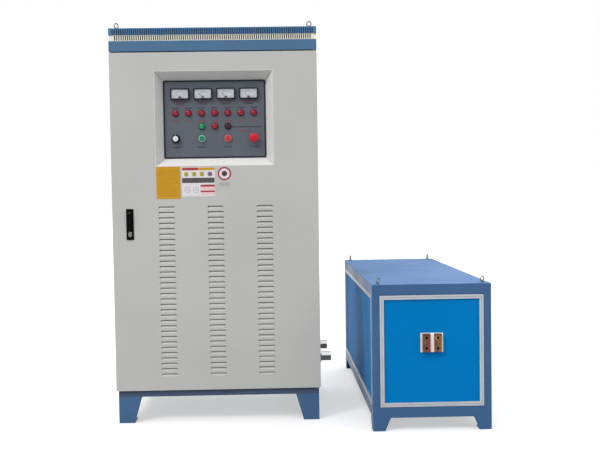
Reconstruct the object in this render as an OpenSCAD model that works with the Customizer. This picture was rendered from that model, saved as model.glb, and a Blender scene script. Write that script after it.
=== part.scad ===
/* [Layout] */
// Clear distance between the power cabinet and the output unit
unit_gap = 206; // [100:1:600]
// How far the output unit's front stands ahead of the cabinet's door
unit_lead = 190; // [0:1:300]

/* [Cabinet body] */
// Width of the power cabinet
cab_w = 900; // [880:1:1100]
// Depth of the power cabinet, door included
cab_d = 600; // [560:1:800]
// Height of the cabinet's roof above the floor
cab_h = 1727; // [1720:1:1900]
// Height of the cabinet's feet
cab_foot_h = 116; // [80:1:150]
// Width of a cabinet foot where it meets the base rail
cab_foot_top_w = 102; // [85:1:130]
// Width of a cabinet foot on the floor
cab_foot_bottom_w = 69; // [55:1:80]
// Height of the base rail
base_rail_h = 25; // [20:1:40]
// Depth of the base rail's channel
base_rail_w = 40; // [30:1:60]
// How far the base stands back from the cabinet's sides
base_side_inset = 8; // [2:0.5:15]
// How far the base stands back from the cabinet's front and rear
base_front_inset = 10; // [4:0.5:16]
// Width of the square posts
post_w = 40; // [30:1:45]
// Wall of posts, rails and bars
tube_t = 2.5; // [1.5:0.1:4]
// Thickness of the covers and of the door skin
sheet_t = 2; // [1.2:0.1:3]
// Thickness of the floor trays
floor_t = 3; // [2:0.1:5]

/* [Roof] */
// Height of the plain band above the door
band_h = 45; // [30:1:60]
// Height of the slotted vent strip
grille_h = 26; // [20:1:40]
// Height of the fluted roof cap
cap_h = 29; // [22:1:40]
// How far the vent strip stands back from the band
grille_inset = 4; // [2:0.5:8]
// Distance from one slot or flute to the next
slot_pitch = 9.3; // [7:0.1:14]
// Width of a vent slot
slot_w = 4.8; // [2:0.1:6]
// Width of a flute in the roof cap's edge
flute_w = 4.8; // [2:0.1:6]
// Depth of a flute
flute_depth = 2.5; // [1:0.1:4]
// Plain corner of the vent strip
grille_corner_w = 14; // [10:0.5:20]

/* [Lifting eyes] */
// Outer diameter of a lifting eye's ring
eye_od = 26; // [22:0.5:32]
// Diameter of the ring's rod
eye_rod_d = 5; // [3:0.1:6]
// Diameter of the eye's collar
eye_collar_d = 16; // [12:0.5:20]
// Height of the eye's collar
eye_collar_h = 5; // [3:0.5:8]
// Diameter of the eye's threaded shank
eye_shank_d = 8; // [6:0.5:10]
// Length of the shank below the roof
eye_shank_l = 14; // [8:1:20]
// Distance of an eye from the roof's edges
eye_inset = 30; // [24:1:45]

/* [Door] */
// Depth of the door's folded edge
door_t = 25; // [22:0.5:30]
// Gap between the closed door and the frame, which the gasket fills
door_seal_gap = 3; // [2.8:0.1:5]
// Gap above the door
door_gap_top = 5; // [4.5:0.1:9]
// Gap below the door
door_gap_bottom = 4; // [4:0.1:8]
// Width of the door's inner lip
door_lip_w = 24; // [20:1:30]
// Distance of the hinge axis from the door's edge
hinge_edge = 10; // [9.5:0.1:10.5]
// Distance of the hinge axis behind the door's front
hinge_depth = 8; // [7:0.1:8]
// Diameter of the hinge pins
hinge_pin_d = 6; // [4:0.1:7]
// Length of each hinge pin above its bracket
hinge_pin_l = 22; // [14:1:30]
// Thickness of the hinge brackets
hinge_plate_t = 3.2; // [2:0.1:3.4]

/* [Louvres] */
// Width of one louvre
louvre_w = 68; // [50:1:90]
// Distance from one louvre to the next
louvre_pitch = 23.7; // [18:0.1:30]
// Plain height of the door below the last louvre
louvre_end = 60; // [40:1:200]
// Distance between the columns of louvres
louvre_col_pitch = 214; // [190:1:240]
// Height of the first louvre's slit below the door's top
louvre_first = 668; // [640:1:700]
// Height of a louvre's pressed slope
louvre_rise = 9; // [7:0.1:12]
// Height of the open slit above the slope
louvre_slit = 2.6; // [2:0.1:4]
// Depth of the pressing behind the door's front
louvre_depth = 5; // [4:0.1:7]

/* [Control recess] */
// Width of the recess at the door's front
recess_w = 512; // [508:1:540]
// Height of the recess at the door's front
recess_h = 410; // [400:1:430]
// Distance of the recess below the door's top
recess_top = 82; // [60:1:100]
// Depth of the recess to its back lip
recess_depth = 50; // [46:1:60]
// Thickness of the recess's sheet
recess_t = 2; // [1.2:0.1:3]
// Width of the recess's back lip
recess_lip_w = 18; // [10:1:22]
// Width of the control plate
plate_w = 450; // [446:1:460]
// Height of the control plate
plate_h = 342; // [336:1:350]
// Thickness of the control plate
plate_t = 2; // [1.5:0.1:3]
// Corner radius of the control plate
plate_r = 8; // [2:0.5:12]

/* [Instruments] */
// Width of a meter
meter_w = 82; // [76:1:90]
// Height of a meter
meter_h = 48; // [46:1:56]
// Distance between meters
meter_pitch = 100.6; // [92:0.1:110]
// Distance of the meters below the plate's top
meter_drop = 60; // [50:1:64]
// Distance between the columns of lamps and buttons
column_pitch = 57.4; // [50:0.1:60]
// Distance of the first row of lamps below the plate's top
lamp_row_drop = 144; // [132:1:150]
// Distance of the second row of lamps below the plate's top
status_row_drop = 202; // [190:1:206]
// Distance of the row of buttons below the plate's top
button_row_drop = 256; // [246:1:262]
// Diameter of a lamp's bezel
lamp_d = 29.5; // [26:0.5:34]
// Diameter of a lamp's lens
lens_d = 24.4; // [20:0.1:25]
// How far a lens stands out of its bezel
lens_h = 9; // [5:0.5:12]
// Diameter of the barrels behind the plate
barrel_d = 22; // [20:0.5:24]
// Diameter of a pushbutton's collar
collar_d = 31; // [28:0.5:35]
// Diameter of a pushbutton's cap
button_d = 21; // [16:0.5:24]
// Travel of a pushbutton
button_travel = 4; // [2:0.1:5]
// Diameter of the emergency stop's mushroom head
stop_head_d = 40; // [36:0.5:44]
// Travel of the emergency stop
stop_travel = 5; // [3:0.1:5.5]
// Diameter of the power knob's skirt
knob_d = 38; // [34:0.5:42]
// Height of the power knob
knob_h = 21; // [16:0.5:26]
// Diameter of the knob's bright cap
knob_cap_d = 27; // [20:0.5:30]

/* [Door lock] */
// Width of the lock's plate
lock_w = 32; // [30:0.5:38]
// Height of the lock's plate
lock_h = 135; // [130:1:150]
// Distance of the lock's centre from the door's free edge
lock_edge = 76; // [74:1:90]
// Distance of the lock's centre below the door's top
lock_drop = 744; // [700:1:780]
// Thickness of the lock's plate
lock_plate_t = 3; // [2:0.1:4]
// Length of the swing handle
handle_l = 88; // [70:1:90]
// Width of the swing handle
handle_w = 24; // [20:0.5:28]
// Thickness of the swing handle
handle_t = 10; // [8:0.5:12]
// Travel of the lock's release button
lock_travel = 4; // [2:0.1:5]

/* [Door plates] */
// Width of the yellow plate
yellow_w = 105; // [80:1:106]
// Height of the yellow plate
yellow_h = 140; // [100:1:150]
// Width of the white plate
white_w = 144; // [120:1:145]
// Height of the white plate
white_h = 127; // [100:1:150]
// Diameter of the round plate
round_d = 59; // [40:1:65]
// Thickness of the bonded plates
label_t = 0.6; // [0.3:0.1:1.5]

/* [Output unit] */
// Width of the output unit
box_w = 500; // [480:1:700]
// Length of the output unit
box_l = 1260; // [1240:1:1500]
// Height of the output unit
box_h = 617; // [600:1:750]
// Height of the output unit's feet
box_foot_h = 56; // [40:1:90]
// Width of an output unit's foot where it meets the frame
box_foot_top_w = 75; // [60:1:90]
// Width of an output unit's foot on the floor
box_foot_bottom_w = 51; // [40:1:58]
// Visible width of the output unit's posts
box_post_w = 30; // [25:1:36]
// Height of the bottom rails
box_rail_h = 43.5; // [36:0.5:50]
// Height of the top rails and the roof together
box_top_h = 44; // [36:0.5:50]
// Width of the bright trim round each panel
trim_w = 17.5; // [12:0.5:22]
// Thickness of the bright trim
trim_t = 6; // [4:0.5:8]
// Dark gap between the trim and the frame
trim_gap = 2; // [1:0.1:3]

/* [Output terminals] */
// Width of the terminal window
window_w = 95; // [94:1:110]
// Height of the terminal window
window_h = 81; // [80:1:100]
// Height of the terminal window's centre above the floor
window_z = 371; // [360:1:385]
// Width of each copper terminal
terminal_w = 31; // [26:0.5:34]
// Height of each copper terminal
terminal_h = 75; // [66:1:77]
// Gap between the two terminals
terminal_gap = 17; // [12:0.5:20]
// How far the terminals stand out of the unit's front
terminal_out = 12; // [8:0.5:30]
// Diameter of the terminals' bolt holes
terminal_hole_d = 11; // [8:0.5:13]
// Height between the terminals' bolt holes
terminal_hole_pitch = 44; // [34:1:48]
// Depth of the terminals' bolt holes
terminal_hole_l = 30; // [20:1:36]

/* [Cooling water] */
// Outer diameter of the cabinet's water pipes
pipe_d = 42.4; // [30:0.1:50]
// Wall of the water pipes
pipe_t = 3.2; // [2:0.1:4]
// How far the water pipes stand out of the cabinet
pipe_out = 56; // [40:1:80]
// Height of the water pipes
pipe_z = 253; // [220:1:300]
// Distance of the front pipe behind the door's front
pipe_front_y = 160; // [140:1:200]
// Distance between the two pipes
pipe_pitch = 280; // [220:1:320]
// Thickness of the pipes' locknuts
locknut_h = 12; // [6:0.5:16]
// Outer diameter of the output unit's water stubs
stub_d = 26.9; // [20:0.1:32]
// How far stubs and glands stand out of the output unit's rear
rear_out = 35; // [25:1:60]

/* [Hidden] */

$fn = 64;

// Clearances and overruns
overrun = 1;
weld_gap = 0.2;
fit_gap = 0.3;
running_gap = 0.05;

// Places of the two units, with the origin under the middle of the pair
total_w = cab_w + unit_gap + box_w;
total_d = terminal_out + box_l + rear_out;
cab_x = (cab_w - total_w) / 2;
box_x = (total_w - box_w) / 2;
box_y = terminal_out - total_d / 2;
cab_y = box_y + unit_lead;

// Levels of the cabinet
base_w = cab_w - 2 * base_side_inset;
base_d = cab_d - 2 * base_front_inset;
base_top = cab_foot_h + base_rail_h;
floor_top = base_top + floor_t;
cap_z = cab_h - cap_h;
grille_z = cap_z - grille_h;
band_z = grille_z - band_h;
door_z = base_top + door_gap_bottom;
door_top = band_z - door_gap_top;
door_h = door_top - door_z;
body_y = door_t + door_seal_gap;
door_lip_t = sheet_t;
band_front_w = body_y + post_w;

// Feet
foot_t = 3;
sole_t = 6;
anchor_hole_d = 14;
cab_anchor_x = base_w / 2 - cab_foot_bottom_w / 2;
box_anchor_x = box_w / 2 - box_foot_bottom_w / 2;

// Eyes
eye_ring_r = (eye_od - eye_rod_d) / 2;
eye_sink = eye_rod_d / 3;
eye_z = eye_collar_h + eye_od / 2 - eye_sink;
cab_eye_turns = [45, 12, 30, 60];
box_eye_turns = [50, 35, 75, 65];

// Hinge
hinge_x = cab_w / 2 - hinge_edge;
hinge_plate_w = 16;
hinge_block_w = 15;
hinge_block_l = 25;

// Louvre details
cheek_t = 1.5;
louvre_window_h = louvre_rise + louvre_slit;
louvre_rows = floor((door_h - louvre_first - louvre_window_h - louvre_end) / louvre_pitch) + 1;

// Recess
recess_z = door_top - recess_top - recess_h;
recess_mid = recess_z + recess_h / 2;
plate_z = recess_mid - plate_h / 2;
plate_top = plate_z + plate_h;
plate_front = recess_depth - plate_t;
plate_back = recess_depth;
seat_w = plate_w + 2 * fit_gap;
seat_h = plate_h + 2 * fit_gap;
slope_x = (recess_w - seat_w) / 2 / plate_back;
slope_z = (recess_h - seat_h) / 2 / plate_back;
wall_x = recess_t * sqrt(1 + slope_x * slope_x);
wall_z = recess_t * sqrt(1 + slope_z * slope_z);
recess_cut_w = recess_w + 2 * wall_x + weld_gap;
recess_cut_h = recess_h + 2 * wall_z + weld_gap;

// Instruments
meter_front = 14;
meter_rim = 3;
meter_back_t = 3;
meter_barrel_d = 40;
meter_barrel_l = 28;
dial_t = 0.8;
glass_t = 1.5;
glass_inset = 0.5;
needle_l = 28;
needle_w = 1.2;
needle_t = 0.5;
needle_tail = 5;
needle_hub_d = 5;
needle_hub_l = 1.2;
needle_axle_d = 1.6;
needle_axle_l = 6;
needle_start = 45;
pivot_drop = 15;
pivot_cover_d = 15;
pivot_cover_t = 3;
pivot_cover_out = 9.5;
pivot_neck_w = 10;
bezel_h = 4;
barrel_l = 40;
nut_af = 27;
nut_h = 5;
collar_h = 9;
collar_floor = 1;
button_out = 2.5;
button_h = 6;
plunger_d = 6;
plunger_l = 18;
stop_collar_h = 6;
stop_neck_d = 24;
stop_neck_gap = 6;
stop_out = 31;
stop_head_h = 10;
stop_stem_d = 10;
stop_stem_l = 25;
stop_socket_l = 12;
knob_gap = 1.5;
knob_skirt_h = 4;
knob_body_d = 32;
knob_cap_h = 1.5;
shaft_d = 6;
shaft_l = 14;
pot_bush_d = 10;
pot_nut_d = 14;
pot_nut_h = 1.2;
pot_d = 28;
pot_h = 16;
status_column = 1;
end_column = 3;

// Lock
lock_x = lock_edge - cab_w / 2;
lock_z = door_top - lock_drop;
lock_r = 4;
lock_body_w = 24;
lock_body_h = 116;
lock_body_d = 14;
rotor_d = 18;
rotor_rise = 44;
rotor_z = lock_z + rotor_rise;
rotor_l = 8;
ear_w = 6;
ear_h = 9;
ear_rise = 5;
ear_pin_d = 3;
handle_top = 14;
cam_w = 14;
cam_t = 4;
cam_l = 20;
cam_gap = 2;
cam_start = body_y + cam_gap;
button_drop = 43;
release_w = 9;
release_h = 15;
release_out = 3;
release_l = 13;

// Plates on the door
plate_below = 3;
yellow_x = -recess_w / 2;
white_gap = 6;
white_x = yellow_x + yellow_w + white_gap;
white_drop = 4;
round_x = 41;
round_drop = 36;

// Inside the cabinet
tray_clearance = 2;
mount_t = 3;
mount_y = cab_d - sheet_t - post_w - mount_t;
mount_w = cab_w - 2 * sheet_t - post_w;
mount_lift = 160;
mount_z = floor_top + mount_lift;
mount_top_gap = 323;
mount_h = band_z - mount_top_gap - mount_z;
breaker_w = 210;
breaker_h = 280;
breaker_d = 100;
breaker_pocket_w = 42;
breaker_pocket_h = 56;
breaker_pocket_d = 50;
toggle_window_w = 30;
toggle_window_h = 80;
toggle_hub_d = 30;
toggle_w = 24;
toggle_lever_w = 16;
toggle_lever_t = 8;
toggle_lever_l = 42;
toggle_start = 25;
toggle_pin_d = 6;
contactor_w = 160;
contactor_h = 180;
contactor_d = 130;
contactor_base_d = 78;
contactor_head_w = 128;
contactor_head_h = 90;
coldplate_w = 600;
coldplate_h = 220;
coldplate_t = 24;
module_w = 62;
module_h = 108;
module_t = 30;
module_count = 6;
module_pitch = 95;
terminal_pad_w = 18;
terminal_pad_h = 14;
terminal_pad_t = 5;
terminal_pad_pitch = 36;
can_d = 76;
can_l = 150;
can_pitch_x = 100;
can_pitch_z = 100;
can_edge = 190;
can_x = mount_w / 2 - can_edge - can_pitch_x;
cans_h = can_pitch_z + can_d;
can_stud_d = 10;
can_stud_l = 12;
can_stud_pitch = 30;
reactor_w = 280;
reactor_h = 260;
reactor_d = 120;
reactor_edge = 48;
reactor_x = reactor_edge + (reactor_w - mount_w) / 2;
reactor_gap = 148;
reactor_y = cab_d - reactor_gap - reactor_d;
reactor_window_w = 60;
reactor_window_h = 150;
reactor_coil_out = 35;
board_w = 200;
board_h = 250;
board_t = 1.6;
standoff_d = 8;
standoff_l = 22;
standoff_inset = 10;
chip_w = 60;
chip_h = 40;
chip_t = 15;

// Places across the top row: the free width is shared out to the left of the breaker, on both
// sides of the contactor and to the right of the board
row_spare = mount_w - breaker_w - contactor_w - board_w;
row_shares = [33, 45, 110, 98] / 286;
breaker_x = (breaker_w - mount_w) / 2 + row_spare * row_shares[0];
contactor_x = breaker_x + (breaker_w + contactor_w) / 2 + row_spare * row_shares[1];
board_x = (mount_w - board_w) / 2 - row_spare * row_shares[3];

// Levels on the mounting plate, in three rows with even gaps
row_gap = (mount_h - cans_h - coldplate_h - breaker_h) / 4;
can_lift = row_gap + can_d / 2;
coldplate_lift = row_gap + cans_h + row_gap;
breaker_lift = coldplate_lift + coldplate_h + row_gap;
contactor_lift = breaker_lift + (breaker_h - contactor_h) / 2;
board_lift = breaker_lift + (breaker_h - board_h) / 2;

// Busbars and water in the cabinet
cab_bar_t = 5;
cab_bar_h = 24;
manifold_d = 52;
manifold_h = 300;
manifold_edge = 90;
manifold_x = cab_w / 2 - manifold_edge;
barb_d = 14;
barb_l = 30;
barb_pitch = 55;
barb_first = 180;
barb_count = 2;
locknut_d = 58;

// Cable glands
gland_d = 54;
gland_bore_d = 40;
gland_l = 50;
gland_flange_d = 64;
gland_flange_h = 6;
gland_pitch = 110;
gland_edge = 100;
gland_y = cab_d - gland_edge;
rear_gland_d = 36;
rear_gland_bore_d = 24;
rear_gland_flange_d = 46;
rear_gland_x = 150;
rear_row_lift = 80;
stub_x = 60;
stub_inner_l = 40;
stub_nut_d = 40;
stub_nut_h = 6;

// Fan
fan_w = 172;
fan_t = 50;
fan_duct_d = 156;
fan_drop = 180;
fan_z = band_z - fan_drop;
fan_hub_d = 60;
fan_motor_d = 64;
fan_motor_l = 14;
fan_tip_d = 148;
fan_blade_count = 7;
fan_blade_t = 3;
fan_blade_turn = 35;
fan_blade_w = 34;
fan_rotor_l = 26;
fan_rotor_gap = 2;
fan_axle_d = 8;
fan_axle_l = 10;
fan_strut_w = 10;
fan_strut_t = 5;
fan_rotor_y = cab_d - sheet_t - fan_t + fan_motor_l + fan_rotor_gap;
guard_rod_d = 2.5;
guard_bar_w = 5;
guard_rings = [22, 40, 58];

// Output unit
box_open_z0 = box_foot_h + box_rail_h;
box_open_z1 = box_h - box_top_h;
box_open_h = box_open_z1 - box_open_z0;
box_open_w = box_w - 2 * box_post_w;
box_open_l = box_l - 2 * box_post_w;
roof_t = sheet_t;
box_post_top = box_h - roof_t;
panel_back = trim_t + sheet_t;
tray_gap = 4;
tray_notch_w = box_post_w + weld_gap;
tray_inset = panel_back + tray_gap;
box_floor_top = box_open_z0 + floor_t;
groove_w = 2;
groove_depth = 1;

// Output terminals
insulator_front = 2;
insulator_sink = 10;
insulator_back = panel_back + insulator_sink;
strip_out = 8;
bar_block_l = 40;
bar_plate_t = 10;
terminal_x = (terminal_gap + terminal_w) / 2;

// Inside the output unit
core_w = 300;
core_h = 300;
core_d = 200;
core_y = 190;
core_window_w = 70;
core_window_h = 160;
core_stand_w = 40;
core_z = window_z - core_h / 2;
winding_out = 40;
winding_y = core_y - winding_out;
cap_side_gap = 70;
cap_block_w = box_w - 2 * cap_side_gap;
cap_block_h = 255;
cap_block_count = 4;
cap_block_gap = 55;
cap_front_gap = 90;
cap_rear_gap = 135;
cap_block_y = core_y + core_d + winding_out + cap_front_gap;
cap_block_pitch = (box_l - cap_rear_gap + cap_block_gap - cap_block_y) / cap_block_count;
cap_block_d = cap_block_pitch - cap_block_gap;
cap_stud_d = 24;
cap_stud_h = 12;
cap_stud_x = 90;
link_bar_w = 40;
link_bar_t = 6;
link_bar_z = box_floor_top + cap_block_h + cap_stud_h;

// Placing and repeating

module at_cabinet() {
    translate([cab_x, cab_y, 0]) children();
}

module at_box() {
    translate([box_x, box_y, 0]) children();
}

module both_sides() {
    children();
    mirror([1, 0, 0]) children();
}

module four_corners(w, d) {
    for (i = [0, 1]) {
        for (j = [0, 1]) {
            translate([(i - 0.5) * w, j * d, 0]) mirror([i, 0, 0]) mirror([0, j, 0]) children();
        }
    }
}

// Sections drawn in Y and Z and pulled along X
module along_x(l) {
    rotate([90, 0, 90]) linear_extrude(l) children();
}

// Sections drawn in X and Z and pulled along Y
module along_y(l) {
    translate([0, l, 0]) rotate([90, 0, 0]) linear_extrude(l) children();
}

module y_rod(d, l) {
    rotate([-90, 0, 0]) cylinder(h = l, d = d);
}

module x_rod(d, l) {
    rotate([0, 90, 0]) cylinder(h = l, d = d);
}

// A block centred on X
module mid_block(w, d, h) {
    translate([-w / 2, 0, 0]) cube([w, d, h]);
}

// A rectangle centred on the first axis and the second
module mid_square(w, h) {
    translate([-w / 2, -h / 2]) square([w, h]);
}

module rounded_square(w, h, r) {
    mid_square(w - 2 * r, h);
    mid_square(w, h - 2 * r);
    for (x = [-1, 1]) {
        for (z = [-1, 1]) {
            translate([x * (w / 2 - r), z * (h / 2 - r)]) circle(r);
        }
    }
}

// A rectangular tube along X, centred
module tube_x(l, w, h) {
    translate([-l / 2, 0, 0]) along_x(l) difference() {
        square([w, h]);
        translate([tube_t, tube_t]) square([w - 2 * tube_t, h - 2 * tube_t]);
    }
}

// A rectangular tube along Y, centred on X
module tube_y(l, w, h) {
    along_y(l) translate([-w / 2, 0]) difference() {
        square([w, h]);
        translate([tube_t, tube_t]) square([w - 2 * tube_t, h - 2 * tube_t]);
    }
}

module post(w, h) {
    linear_extrude(h) difference() {
        square(w);
        translate([tube_t, tube_t]) square(w - 2 * tube_t);
    }
}

// Feet and base

// A folded corner foot with its outer corner at the origin
module corner_foot(top_w, bottom_w, h) {
    difference() {
        union() {
            along_y(foot_t) polygon([[0, 0], [bottom_w, 0], [top_w, h], [0, h]]);
            along_x(foot_t) polygon([[0, 0], [bottom_w, 0], [top_w, h], [0, h]]);
            cube([bottom_w, bottom_w, sole_t]);
            translate([0, 0, h - foot_t]) cube([top_w, top_w, foot_t]);
        }
        translate([bottom_w / 2, bottom_w / 2, -overrun])
            cylinder(h = sole_t + 2 * overrun, d = anchor_hole_d);
    }
}

module channel_section(w, h) {
    difference() {
        square([w, h]);
        translate([tube_t, tube_t]) square([w, h - 2 * tube_t]);
    }
}

module cabinet_base() color("#41648c") at_cabinet() translate([0, base_front_inset, 0]) {
    four_corners(base_w, base_d) corner_foot(cab_foot_top_w, cab_foot_bottom_w, cab_foot_h - weld_gap);
    translate([-base_w / 2, 0, cab_foot_h]) along_x(base_w) channel_section(base_rail_w, base_rail_h);
    translate([-base_w / 2, base_d, cab_foot_h]) mirror([0, 1, 0]) along_x(base_w)
        channel_section(base_rail_w, base_rail_h);
    both_sides() translate([-base_w / 2, base_rail_w + weld_gap, cab_foot_h])
        along_y(base_d - 2 * base_rail_w - 2 * weld_gap) channel_section(base_rail_w, base_rail_h);
}

// Two floor trays, one in each unit, with the holes for the cable glands in the cabinet's
module floor_trays() color("#9aa1a6") {
    at_cabinet() difference() {
        translate([0, body_y + tray_clearance, base_top])
            mid_block(base_w, cab_d - base_front_inset - body_y - tray_clearance, floor_t);
        for (i = [-1, 0, 1]) {
            translate([i * gland_pitch, gland_y, base_top - overrun])
                cylinder(h = floor_t + 2 * overrun, d = gland_d + 2 * fit_gap);
        }
    }
    at_box() difference() {
        translate([0, tray_inset, box_open_z0])
            mid_block(box_w - 2 * tray_inset, box_l - 2 * tray_inset, floor_t);
        four_corners(box_w, box_l) translate([-overrun, -overrun, box_open_z0 - overrun])
            cube([tray_notch_w + overrun, tray_notch_w + overrun, floor_t + 2 * overrun]);
    }
}

// Cabinet body

module cabinet_frame() color("#b4b5b0") at_cabinet() {
    post_h = band_z - floor_top;
    bar_l = cab_w - 2 * sheet_t - 2 * post_w - 2 * weld_gap;
    rear_y = cab_d - sheet_t - post_w;
    translate([0, body_y, floor_top])
        four_corners(cab_w - 2 * sheet_t, cab_d - sheet_t - body_y) post(post_w, post_h);
    for (y = [body_y, rear_y]) {
        for (z = [floor_top, band_z - post_w]) {
            translate([0, y, z]) tube_x(bar_l, post_w, post_w);
        }
    }
}

module cabinet_panels() color("#bebeba") at_cabinet() {
    panel_h = band_z - base_top - weld_gap;
    rear_w = cab_w - 2 * sheet_t - 2 * weld_gap;
    translate([-cab_w / 2, body_y, base_top]) cube([sheet_t, cab_d - body_y, panel_h]);
    difference() {
        translate([cab_w / 2 - sheet_t, body_y, base_top]) cube([sheet_t, cab_d - body_y, panel_h]);
        for (i = [0, 1]) {
            translate([cab_w / 2 - sheet_t - overrun, pipe_front_y + i * pipe_pitch, pipe_z])
                x_rod(pipe_d + 2 * fit_gap, sheet_t + 2 * overrun);
        }
    }
    difference() {
        translate([0, cab_d - sheet_t, base_top]) mid_block(rear_w, sheet_t, panel_h);
        translate([0, cab_d - sheet_t - overrun, fan_z]) y_rod(fan_duct_d, sheet_t + 2 * overrun);
    }
}

// A folded channel along X, open at its rear, with closed ends
module band_channel(w) {
    difference() {
        mid_block(cab_w, w, band_h);
        translate([0, tube_t, tube_t]) mid_block(cab_w - 2 * tube_t, w, band_h - 2 * tube_t);
    }
}

module top_band() color("#4b739b") at_cabinet() translate([0, 0, band_z]) {
    side_l = cab_d - band_front_w - post_w - 2 * weld_gap;
    band_channel(band_front_w);
    translate([0, cab_d, 0]) mirror([0, 1, 0]) band_channel(post_w);
    both_sides() translate([-cab_w / 2, band_front_w + weld_gap, 0]) along_y(side_l) difference() {
        square([post_w, band_h]);
        translate([tube_t, tube_t]) square([post_w, band_h - 2 * tube_t]);
    }
}

// Evenly spaced marks over a length, centred
module spaced(l, pitch) {
    count = floor(l / pitch);
    for (i = [0:count - 1]) {
        translate([(i - (count - 1) / 2) * pitch, 0]) children();
    }
}

module vent_strip(l) {
    rim = grille_h / 9;
    along_y(sheet_t) difference() {
        translate([-l / 2, 0]) square([l, grille_h]);
        spaced(l, slot_pitch) translate([-slot_w / 2, rim]) square([slot_w, grille_h - 2 * rim]);
    }
}

module vent_grille() color("#bebeaf") at_cabinet() translate([0, grille_inset, grille_z]) {
    strip_w = cab_w - 2 * grille_inset;
    strip_d = cab_d - 2 * grille_inset;
    front_l = strip_w - 2 * grille_corner_w - 2 * weld_gap;
    side_l = strip_d - 2 * grille_corner_w - 2 * weld_gap;
    four_corners(strip_w, strip_d) cube([grille_corner_w, grille_corner_w, grille_h]);
    vent_strip(front_l);
    translate([0, strip_d - sheet_t, 0]) vent_strip(front_l);
    both_sides() translate([strip_w / 2, strip_d / 2, 0]) rotate([0, 0, 90]) vent_strip(side_l);
}

module flutes(l) {
    spaced(l, slot_pitch) mid_square(flute_w, 2 * flute_depth);
}

module roof_cap() color("#4b739b") at_cabinet() translate([0, 0, cap_z]) {
    lip = cap_h / 6;
    skirt = 2 * flute_depth;
    difference() {
        mid_block(cab_w, cab_d, cap_h);
        translate([0, skirt, -overrun])
            mid_block(cab_w - 2 * skirt, cab_d - 2 * skirt, cap_h - tube_t + overrun);
        translate([0, 0, -overrun]) linear_extrude(cap_h - lip + overrun) {
            flutes(cab_w - 2 * slot_pitch);
            translate([0, cab_d]) flutes(cab_w - 2 * slot_pitch);
            both_sides() translate([cab_w / 2, cab_d / 2]) rotate(90) flutes(cab_d - 2 * slot_pitch);
        }
        for (x = [-1, 1]) {
            for (y = [eye_inset, cab_d - eye_inset]) {
                translate([x * (cab_w / 2 - eye_inset), y, 0])
                    cylinder(h = cap_h + overrun, d = eye_shank_d + 2 * fit_gap);
            }
        }
    }
}

module lifting_eye() {
    translate([0, 0, -eye_shank_l]) cylinder(h = eye_shank_l + overrun, d = eye_shank_d);
    cylinder(h = eye_collar_h, d = eye_collar_d);
    translate([0, 0, eye_z]) rotate([90, 0, 0])
        rotate_extrude() translate([eye_ring_r, 0]) circle(d = eye_rod_d);
}

module eye_set(w, d, z, turns) {
    for (i = [0, 1]) {
        for (j = [0, 1]) {
            translate([(i - 0.5) * (w - 2 * eye_inset), eye_inset + j * (d - 2 * eye_inset), z])
                rotate([0, 0, turns[i + 2 * j]]) lifting_eye();
        }
    }
}

module lifting_eyes() color("#9a9c9e") {
    at_cabinet() eye_set(cab_w, cab_d, cab_h, cab_eye_turns);
    at_box() eye_set(box_w, box_l, box_h, box_eye_turns);
}

// Brackets in the gaps above and below the door, each with its hinge pin
module hinge_bracket() {
    translate([-hinge_edge, -hinge_depth / 2, 0])
        cube([hinge_plate_w, body_y - hinge_depth / 2, hinge_plate_t]);
    translate([0, 0, hinge_plate_t - overrun]) cylinder(h = hinge_pin_l + overrun, d = hinge_pin_d);
}

module hinge_brackets() color("#8e9296") at_cabinet() {
    translate([hinge_x, hinge_depth, base_top]) hinge_bracket();
    translate([hinge_x, hinge_depth, band_z]) mirror([0, 0, 1]) hinge_bracket();
}

// Door

// The level of a louvre's lower edge
function louvre_z(row) = door_top - louvre_first - louvre_window_h - row * louvre_pitch;

module louvre_places() {
    for (col = [-1, 0, 1]) {
        for (row = [0:louvre_rows - 1]) {
            translate([col * louvre_col_pitch, louvre_z(row)]) children();
        }
    }
}

// The sloping sheet of one column of louvres, in Y and Z
module louvre_slopes() {
    for (row = [0:louvre_rows - 1]) {
        translate([0, louvre_z(row)]) polygon([
            [0, 0],
            [sheet_t / 2, -sheet_t / 2],
            [sheet_t, 0],
            [louvre_depth + sheet_t, louvre_rise],
            [louvre_depth, louvre_rise]
        ]);
    }
}

// The closed ends of one column of louvres, in Y and Z
module louvre_cheeks() {
    for (row = [0:louvre_rows - 1]) {
        translate([0, louvre_z(row)]) polygon([
            [sheet_t / 2, 0],
            [sheet_t, 0],
            [louvre_depth + sheet_t, louvre_rise],
            [sheet_t / 2, louvre_rise]
        ]);
    }
}

module door_tray() {
    lip_w = cab_w - 2 * door_lip_w;
    lip_h = door_h - 2 * door_lip_w;
    difference() {
        translate([0, 0, door_z]) mid_block(cab_w, door_t, door_h);
        translate([0, sheet_t, door_z + sheet_t])
            mid_block(cab_w - 2 * sheet_t, door_t - sheet_t - door_lip_t, door_h - 2 * sheet_t);
        translate([0, sheet_t, door_z + door_lip_w]) mid_block(lip_w, door_t, lip_h);
    }
}

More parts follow.
